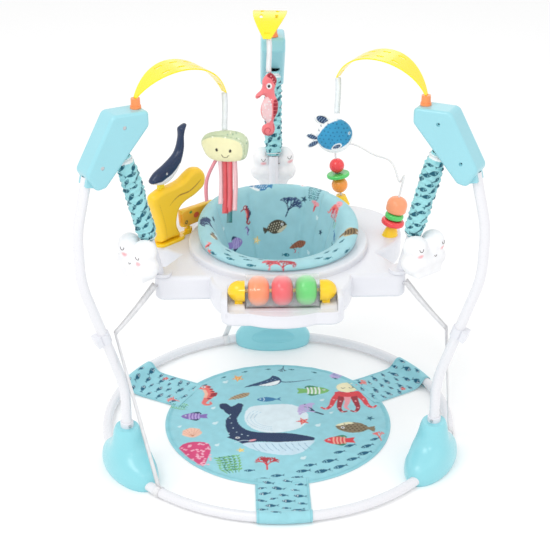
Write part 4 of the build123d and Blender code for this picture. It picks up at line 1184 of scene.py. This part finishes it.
# tether: radius and height where it leaves the tray and where it bends over the leg
WALL = (306.5, 442.0)
KNEE = (405.0, 353.0)
LOOP_R = 12.2
for leg, angle in LEGS.items():
    side = polar(1.0, angle + 90)
    tie = angle + 18.0
    wall = polar(WALL[0], angle, WALL[1])
    knee = polar(KNEE[0], angle, KNEE[1])
    end = polar(RING_R, tie, RING_Z + TUBE_R + 1.0)
    upper = [wall + (knee - wall) * t + np.array([0, 0, -3.0 * math.sin(math.pi * t)]) for t in np.linspace(0, 1, 18)]
    one = strap(f"tether_upper_{leg}", upper, [side] * 18, np.linspace(24, 15, 18), 1.6, MAT["webbing"])
    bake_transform(one)
    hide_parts("tethers")
    tangent = polar(1.0, tie + 90)
    lower = [knee + (end - knee) * t for t in np.linspace(0, 1, 24)]
    sides = [side * (1 - t) + tangent * t for t in np.linspace(0, 1, 24)]
    two = strap(f"tether_lower_{leg}", lower, sides, 14.0, 1.6, MAT["webbing"])
    loop = [ring_point(polar(RING_R, tie, RING_Z), LOOP_R, b, polar(1.0, tie), UP) for b in np.linspace(0, TAU, 33)]
    three = strap(f"tether_loop_{leg}", loop, [tangent] * 33, 14.0, 1.2, MAT["webbing"])
    for piece in (two, three):
        attach(piece, "frame", "tethers")
    for piece, width, length in ((one, 0.024, np.linalg.norm(knee - wall)), (two, 0.014, np.linalg.norm(end - knee)),
                                 (three, 0.014, TAU * LOOP_R)):
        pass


# ------------------------------------------------------------------- clouds
def soften(name, node, voxel, rounds):
    # a plush copy of a CAD node with its edges rounded off
    o = bpy.data.objects.new(name, NODES[node].data.copy())
    bpy.context.scene.collection.objects.link(o)
    rem = o.modifiers.new("remesh", "REMESH")
    rem.mode = "VOXEL"
    rem.voxel_size = voxel
    smooth = o.modifiers.new("smooth", "SMOOTH")
    smooth.iterations = rounds
    smooth.factor = 0.5
    depsgraph = bpy.context.evaluated_depsgraph_get()
    made = bpy.data.meshes.new_from_object(o.evaluated_get(depsgraph))
    o.modifiers.clear()
    o.data = made
    made.polygons.foreach_set("use_smooth", [True] * len(made.polygons))
    return o


# closed eyes, cheeks and mouth: across the face and up from the middle of the cloud
CLOUD_FACES = {
    "back": (270.0, ((-24, 36), (39, 40)), ((-24, 26), (41, 29)), (12, 25)),
    "left": (222.0, ((-19, 35), (30, 28)), ((-17, 21), (29, 14)), (4, 8)),
    "right": (306.0, ((-30, 36), (33, 38)), ((-29, 21), (32, 26)), (13, 12)),
}
for leg, angle in LEGS.items():
    cloud = soften(f"cloud_plush_{leg}", f"cloud_{leg}", 0.0024, 34)
    mesh = cloud.data
    co = np.array([v.co for v in mesh.vertices]) / MM
    facing, eyes, cheeks, mouth = CLOUD_FACES[leg]
    look = polar(1.0, facing)
    across = polar(1.0, facing + 90)
    centre = polar(345.0, angle, 502.0)
    u = (co - centre) @ across
    v = co[:, 2] - centre[2]
    front = (co - centre) @ look
    ink = Ink(u, v, "#f7f7f9")
    keep = ink.colour.copy()
    for x, z in cheeks:
        ink.at(0, 0).oval(x, z, 6.5, 4.0, "#f6b9be", 0, 2.0)
    ink.colour[front < 0] = keep[front < 0]
    write_paint(mesh, ink.colour)
    mesh.materials.clear()
    mesh.materials.append(MAT["plush"])
    attach(cloud, "tray", f"cloud_{leg}")
    tree = BVHTree.FromPolygons([tuple(c) for c in co], [tuple(p.vertices) for p in mesh.polygons])

    def on_surface(a, b):
        origin = centre + across * a + UP * b + look * 90
        hit = tree.ray_cast(Vector(origin), Vector(-look))
        return np.array(hit[0]) + look * 0.3 if hit[0] is not None else None

    lash = [(-4.5, 2.5), (-3.4, -1.8), (0, -3.8), (3.4, -1.8), (4.5, 2.5)]
    strokes = {"eye_l": [(eyes[0][0] + a, eyes[0][1] + b) for a, b in lash],
               "eye_r": [(eyes[1][0] + a, eyes[1][1] + b) for a, b in lash],
               "mouth": [(mouth[0] + a, mouth[1] + b) for a, b in ((-3.5, 1), (0, -1), (3.5, 1.5))]}
    for tag, line in strokes.items():
        pts = [on_surface(a, b) for a, b in curve_points(line, 0.8)]
        pts = [p for p in pts if p is not None]
        if len(pts) > 3:
            thread = tube(f"cloud_{leg}_{tag}", pts, 0.6, MAT["thread"])
            attach(thread, "tray", f"cloud_{leg}")

# -------------------------------------------------------- banana, pizza, whale
TOY = np.array([-250.0, 20.0, 0.0])
TOY_S = polar(1.0, 45.0)
TOY_N = polar(1.0, -45.0)


def toy_place(v):
    # row across, depth away from the viewer, height
    return TOY + TOY_S * v[0] - TOY_N * v[1] + UP * v[2]


BANANA = [(-24, 468.5), (-23, 492), (-31, 530), (-42, 566), (-39, 583), (-20, 591), (-4, 594), (20, 594),
          (46, 598), (66, 608), (82, 614), (97, 613), (108, 607), (117, 595), (119, 580), (112, 564),
          (96, 555), (79, 549), (54, 543), (38, 533), (30, 514), (29, 496), (38, 468.5), (8, 468.4)]


def banana_paint(k, verts):
    k.at(0, 0).line([(3, 552), (18, 562), (34, 568), (50, 568), (64, 569), (82, 576), (99, 586)], 2.6, "#a87414",
                    True, [0.3, 1, 1, 1, 0.4])
    k.line([(-26, 562), (-17, 532), (-10, 502), (-8, 476)], 1.4, "#e8bb22")


banana = pillow("banana_toy", BANANA, 30.0, 12.0, MAT["toy"], toy_place, banana_paint, "#ffcf24", 2.0)
attach(banana, "tray", "banana")
peg = pillow("whale_pivot_tab", [(-17, 585), (1, 585), (-1, 613), (-3, 618), (-8, 620), (-13, 618), (-15, 613)],
             8.0, 2.0, MAT["yellow"], toy_place, None, "#ffcf24", 1.6)
attach(peg, "tray", "banana")

WHALE = [(-16, 602.5), (8, 602), (32, 616), (50, 640), (60, 670), (61, 696), (65, 711), (71, 722), (60, 720),
         (51, 714), (50, 692), (38, 664), (10, 646), (-24, 631), (-38, 613)]


def whale_paint(k, verts):
    k.at(0, 0).shape([(-37, 610), (-26, 602), (8, 600), (34, 615), (47, 634), (40, 641), (30, 632), (14, 622),
                      (-2, 617), (-14, 613), (-26, 613)], WHITE)
    for i in range(5):
        k.line([(-20 + 10 * i, 604 + 2 * i), (-8 + 10 * i, 610 + 4 * i)], 0.7, "#c9d3de")
    eye(k, 0, 627, (2.4, 2.4), (1.2, 1.2), "#101820")


whale = pillow("whale_toy", WHALE, 26.0, 13.0, MAT["toy"], toy_place, whale_paint, "#142c50", 1.8)
attach(whale, "whale", "whale")


def pizza_paint(k, verts):
    k.at(0, 0).shape([(50, 519), (53, 485), (103, 485), (145, 511), (142, 515)], "#f7b733")
    k.oval(58, 493, 4.5, 4.5, "#5b5a2a")
    k.oval(58, 493, 2.0, 2.0, "#f7b733")
    k.oval(89, 502, 8.5, 7, "#e0542f")
    k.oval(122, 508, 7.5, 4.5, "#a8323a")
    k.oval(72, 513, 4.5, 3.2, "#4f9a4a")
    k.oval(107, 493, 4.0, 3.4, "#4f9a4a")


PIZZA = [(44, 523), (44.6, 516), (47.5, 486), (52, 480.8), (60, 480.6), (100, 480.6), (106, 482),
         (148, 508.5), (152, 513), (146, 518.5), (100, 521), (56, 523.4)]
pizza = pillow("pizza_toy", PIZZA, 16.0, 3.5, MAT["toy"], toy_place, pizza_paint, "#f9cf4b", 1.8)
attach(pizza, "pizza_slice", "pizza_slice")

# ---------------------------------------------------------- hanging plush toys
# where each ribbon hangs, its height range and its colour
HANG = {"left": (-113.0, -65.0, 835.0, 754.0, "#eef3f5"), "right": (120.0, -69.0, 866.0, 789.0, "#ecf3f6"),
        "back": (-15.0, 152.0, 886.0, 809.0, "#f3f3f6")}
for name, (hx, hy, top_z, low_z, shade) in HANG.items():
    line = [np.array([hx + 0.8 * math.sin(5 * t), hy, top_z + (low_z - top_z) * t]) for t in np.linspace(0, 1, 24)]
    band = strap(f"hang_ribbon_{name}", line, [(1.0, 0, 0)] * 24, 12.0, 1.1, MAT["ribbon"], None, shade)
    attach(band, f"ribbon_{name}", f"ribbon_{name}")

# where the plush toys hang
JELLY = (-113.0, -65.0)
PUFFER = (115.0, -69.0)
HORSE = (-15.0, 152.0)


def plush(name, outline, thick, soft, spot, paint, base, step, body):
    def place(v):
        return np.array([spot[0] + v[0], spot[1] + v[1], v[2]])

    piece = pillow(name, outline, thick, soft, MAT["plush"], place, paint, base, step)
    attach(piece, body, body)


def jelly_paint(k, verts):
    # pale face at the lower left, speckled rim over the top and the right side
    k.at(0, 0).shape([(-47, 733), (-34, 741), (-8, 742), (20, 736), (33, 727), (36, 706), (31, 690), (22, 685),
                      (-10, 685), (-32, 692), (-43, 708), (-49, 724)], "#f1edc0")
    spots = np.random.default_rng(3)
    for i in range(70):
        x, z = spots.uniform(-46, 48), spots.uniform(686, 752)
        if x > 37 or z > 743 - 0.009 * (x + 10) ** 2:
            k.oval(x, z, 1.5, 1.5, ("#f4f6e6", "#8fab93", "#f4f6e6")[i % 3])
    k.line([(-44, 737), (-30, 744), (-6, 745), (22, 739), (37, 729), (40, 706), (35, 688)], 1.0, "#a9b791")
    k.oval(-18, 716, 2.7, 3.9, "#2e2a2a")
    k.oval(10, 713, 2.7, 3.9, "#2e2a2a")
    k.line([(-8, 705), (-4, 699), (2, 698), (7, 703)], 1.5, "#4a3a34")


BELL = [(-47, 737), (-38, 746), (-20, 751), (8, 753), (32, 748), (45, 738), (49, 724), (47, 704), (41, 690),
        (26, 685), (2, 684), (-22, 687), (-38, 697), (-46, 712), (-50, 726)]
plush("jellyfish_plush", BELL, 32.0, 26.0, JELLY, jelly_paint, "#c9d6b6", 1.8, "jellyfish")
# tag, place across, colour, length, width, phase of the wave and drift to the side
TENTACLES = [("a", -19, "#f08c9a", 96, 10.0, 1.5, -22), ("b", -11, "#f9ccd2", 102, 10.0, 0.2, 1),
             ("c", -1, "#e23a45", 124, 12.5, 0.15, 0), ("d", 9, "#ee5560", 146, 12.0, 0.1, -1),
             ("e", 19, "#f7c3c9", 118, 10.0, 0.3, 1)]
for tag, x0, code, length, width, phase, drift in TENTACLES:
    line, turns = [], []
    for t in np.linspace(0, 1, 30):
        bend = drift * math.sin(min(1.0, 1.6 * t) * math.pi / 2)
        line.append(np.array([JELLY[0] + x0 + bend + 2.0 * t * math.sin(4.5 * t + phase),
                              JELLY[1] + 3.0 * math.sin(3.6 * t + phase * 2) * t + 0.6 * x0 / 19,
                              690.0 - length * t]))
        w = 0.35 * math.sin(3.0 * t + phase) + (1.2 if tag == "a" else 0.0) * t
        turns.append(np.array([math.cos(w), math.sin(w), 0]))

    def tip(k, total, tag=tag):
        if tag == "d":
            k.at(0, 0).shape([(-9, total - 24), (9, total - 28), (9, total + 3), (-9, total + 3)], "#1f7d80", False)
            k.shape([(-3, total - 18), (4, total - 20), (2, total - 8), (-4, total - 7)], "#c93848")
        k.at(0, 0).line([(-width / 2 + 0.8, 0), (-width / 2 + 0.8, total)], 0.9, "#ffffff", False)

    band = strap(f"jelly_ribbon_{tag}", line, turns, width, 1.0, MAT["ribbon"], tip, code)
    attach(band, "jellyfish", "jellyfish")
    run_length(line)[-1] * MM


def puffer_paint(k, verts):
    # blue back over a white belly, with small dark dots and a patterned side fin
    k.at(0, 0).shape([(-38, 731), (-30, 752), (-15, 769), (6, 776), (24, 775), (36, 763), (37, 746), (30, 730),
                      (14, 719), (-4, 714), (-22, 717)], "#3a93bf")
    for i in range(8):
        for j in range(7):
            x, z = -32 + 9 * i + 4 * (j % 2), 722 + 8.2 * j - 0.4 * i
            k.oval(x + math.sin(3 * i + j), z + math.cos(2 * i + j), 1.2, 1.1, "#1c4468")
    k.shape([(-34, 728), (-30, 716), (-22, 708), (-4, 700), (14, 702), (27, 712), (31, 727), (14, 717), (-4, 712),
             (-22, 715)], "#eef2f3")
    k.shape([(-7, 716), (-1, 726), (10, 729), (15, 724), (8, 716), (0, 712)], "#eef2f3")
    k.shape([(-4, 717), (0, 724), (9, 727), (12, 723), (6, 717)], NAVY)
    for i in range(3):
        k.line([(0 + 3.5 * i, 717), (1 + 3.5 * i, 725)], 0.8, "#a9c5dd")
    k.oval(30, 749, 2.8, 3.2, "#cfe3ee")
    k.oval(30.5, 749, 1.3, 1.6, "#15202c")


BALL = [(38 * math.cos(a), 740 + 38 * math.sin(a)) for a in np.linspace(0, TAU, 22, endpoint=False)]
plush("puffer_plush", BALL, 34.0, 30.0, PUFFER, puffer_paint, "#eef2f4", 1.8, "puffer_fish")


def fin_paint(k, verts):
    # white margin round a navy inner leaf with pale veins
    mid = (verts[:, [0, 2]].max(0) + verts[:, [0, 2]].min(0)) / 2
    d = verts[:, [0, 2]] - mid
    axes = np.linalg.eigh(np.cov(d.T))[1]
    long = axes[:, 1]
    turn = math.degrees(math.atan2(long[1], long[0]))
    rx, ry = 0.40 * np.ptp(d @ long), 0.34 * np.ptp(d @ axes[:, 0])
    k.colour[:] = rgb("#eff3f4")
    k.at(mid[0], mid[1], 1.0, turn).oval(0, 0, rx, ry, NAVY)
    for i in range(4):
        x = -0.6 * rx + 0.4 * rx * i
        k.line([(x, -0.6 * ry), (x + 0.2 * rx, 0.6 * ry)], 0.9, "#9fc0dc")


FINS = {"dorsal": [(-16, 766), (-28, 764), (-40, 772), (-42, 784), (-32, 790), (-20, 784), (-10, 776)],
        "tail_upper": [(-34, 740), (-46, 746), (-58, 748), (-60, 740), (-50, 733), (-36, 731)],
        "tail_lower": [(-34, 733), (-44, 731), (-56, 724), (-56, 715), (-46, 715), (-32, 724)]}
for tag, outline in FINS.items():
    plush(f"puffer_{tag}", outline, 8.0, 5.0, PUFFER, fin_paint, NAVY, 1.6, "puffer_fish")


def seahorse_paint(k, verts):
    k.at(0, 0).shape([(-17, 735), (-11, 750), (-3, 756), (4, 744), (7, 724), (4, 702), (-4, 694), (-14, 706)],
                     "#f7cfd3")
    dots = np.random.default_rng(9)
    for i in range(24):
        x, z = dots.uniform(-16, 5), dots.uniform(698, 750)
        k.oval(x, z, 1.3, 1.3, WHITE)
    k.shape([(11, 748), (22, 744), (21, 716), (11, 706), (9, 724)], DARKRED)
    for i in range(4):
        k.line([(10, 742 - 9 * i), (21, 741 - 9 * i)], 1.1, "#f08a8f")
    k.shape([(2, 809), (11, 804), (18, 793), (16, 778), (11, 786), (5, 797), (-5, 803)], DARKRED)
    for i in range(4):
        k.oval(4 + 3.4 * i, 803 - 6.0 * i, 1.2, 1.2, "#f4b0b4")
    k.oval(0, 781, 6.2, 6.8, WHITE)
    k.oval(-0.5, 780.5, 3.2, 3.8, "#2a2a30")
    k.line([(9, 690), (11, 676), (6, 667), (-3, 665), (-10, 671), (-9, 680), (-2, 683), (3, 678), (0, 673)], 1.7,
           "#c9505c")
    k.line([(-28, 755), (-20, 757)], 1.1, DARKRED)


SEAHORSE = [(2, 808.5), (10, 804), (17, 793), (15, 780), (12, 768), (14, 755), (20, 740), (19, 718), (13, 704),
            (10, 694), (13, 680), (10, 667), (-1, 661.5), (-12, 664), (-17, 674), (-14, 685), (-6, 690), (-9, 697),
            (-16, 706), (-19, 722), (-16, 738), (-9, 752), (-14, 757), (-23, 750), (-30, 750), (-29, 758),
            (-19, 768), (-15, 778), (-15, 790), (-8, 802)]
plush("seahorse_plush", SEAHORSE, 22.0, 10.0, HORSE, seahorse_paint, "#f4848a", 1.5, "seahorse")

# ------------------------------------------------------------ stage and light
floor_mat, _, floor_shader = new_material("floor_white")
put(floor_shader, {"Base Color": (0.95, 0.95, 0.95, 1), "Roughness": 0.9, "Specular IOR Level": 0.1,
                   "Emission Color": (1, 1, 1, 1), "Emission Strength": 0.06})
REACH = 9000
floor = make_object("floor", [(x * REACH, y * REACH, -0.4) for x, y in ((-1, -1), (1, -1), (1, 1), (-1, 1))],
                    [(0, 1, 2, 3)], floor_mat, None, False)

world = bpy.data.worlds.new("studio")
bpy.context.scene.world = world
world.use_nodes = True
put(world.node_tree.nodes["Background"], {"Color": (1.0, 1.0, 1.0, 1), "Strength": 0.92})


def lamp(name, location, target, size, power):
    data = bpy.data.lights.new(name, "AREA")
    data.shape = "RECTANGLE"
    data.size = size
    data.size_y = size
    data.energy = power
    o = bpy.data.objects.new(name, data)
    bpy.context.scene.collection.objects.link(o)
    o.location = location
    o.rotation_euler = (Vector(target) - Vector(location)).to_track_quat("-Z", "Y").to_euler()


lamp("key", (-1.5, -1.6, 3.4), (0, 0, 0.4), 1.6, 32.0)
lamp("fill", (2.4, -1.2, 2.2), (0, 0, 0.4), 2.2, 6.0)
lamp("front_strip", (-0.1, -2.3, 1.9), (0, -0.24, 0.47), 0.22, 5.0)
lamp("rim", (0.3, 2.6, 2.4), (0, 0, 0.5), 1.6, 5.0)
bpy.context.scene.view_settings.view_transform = "Standard"
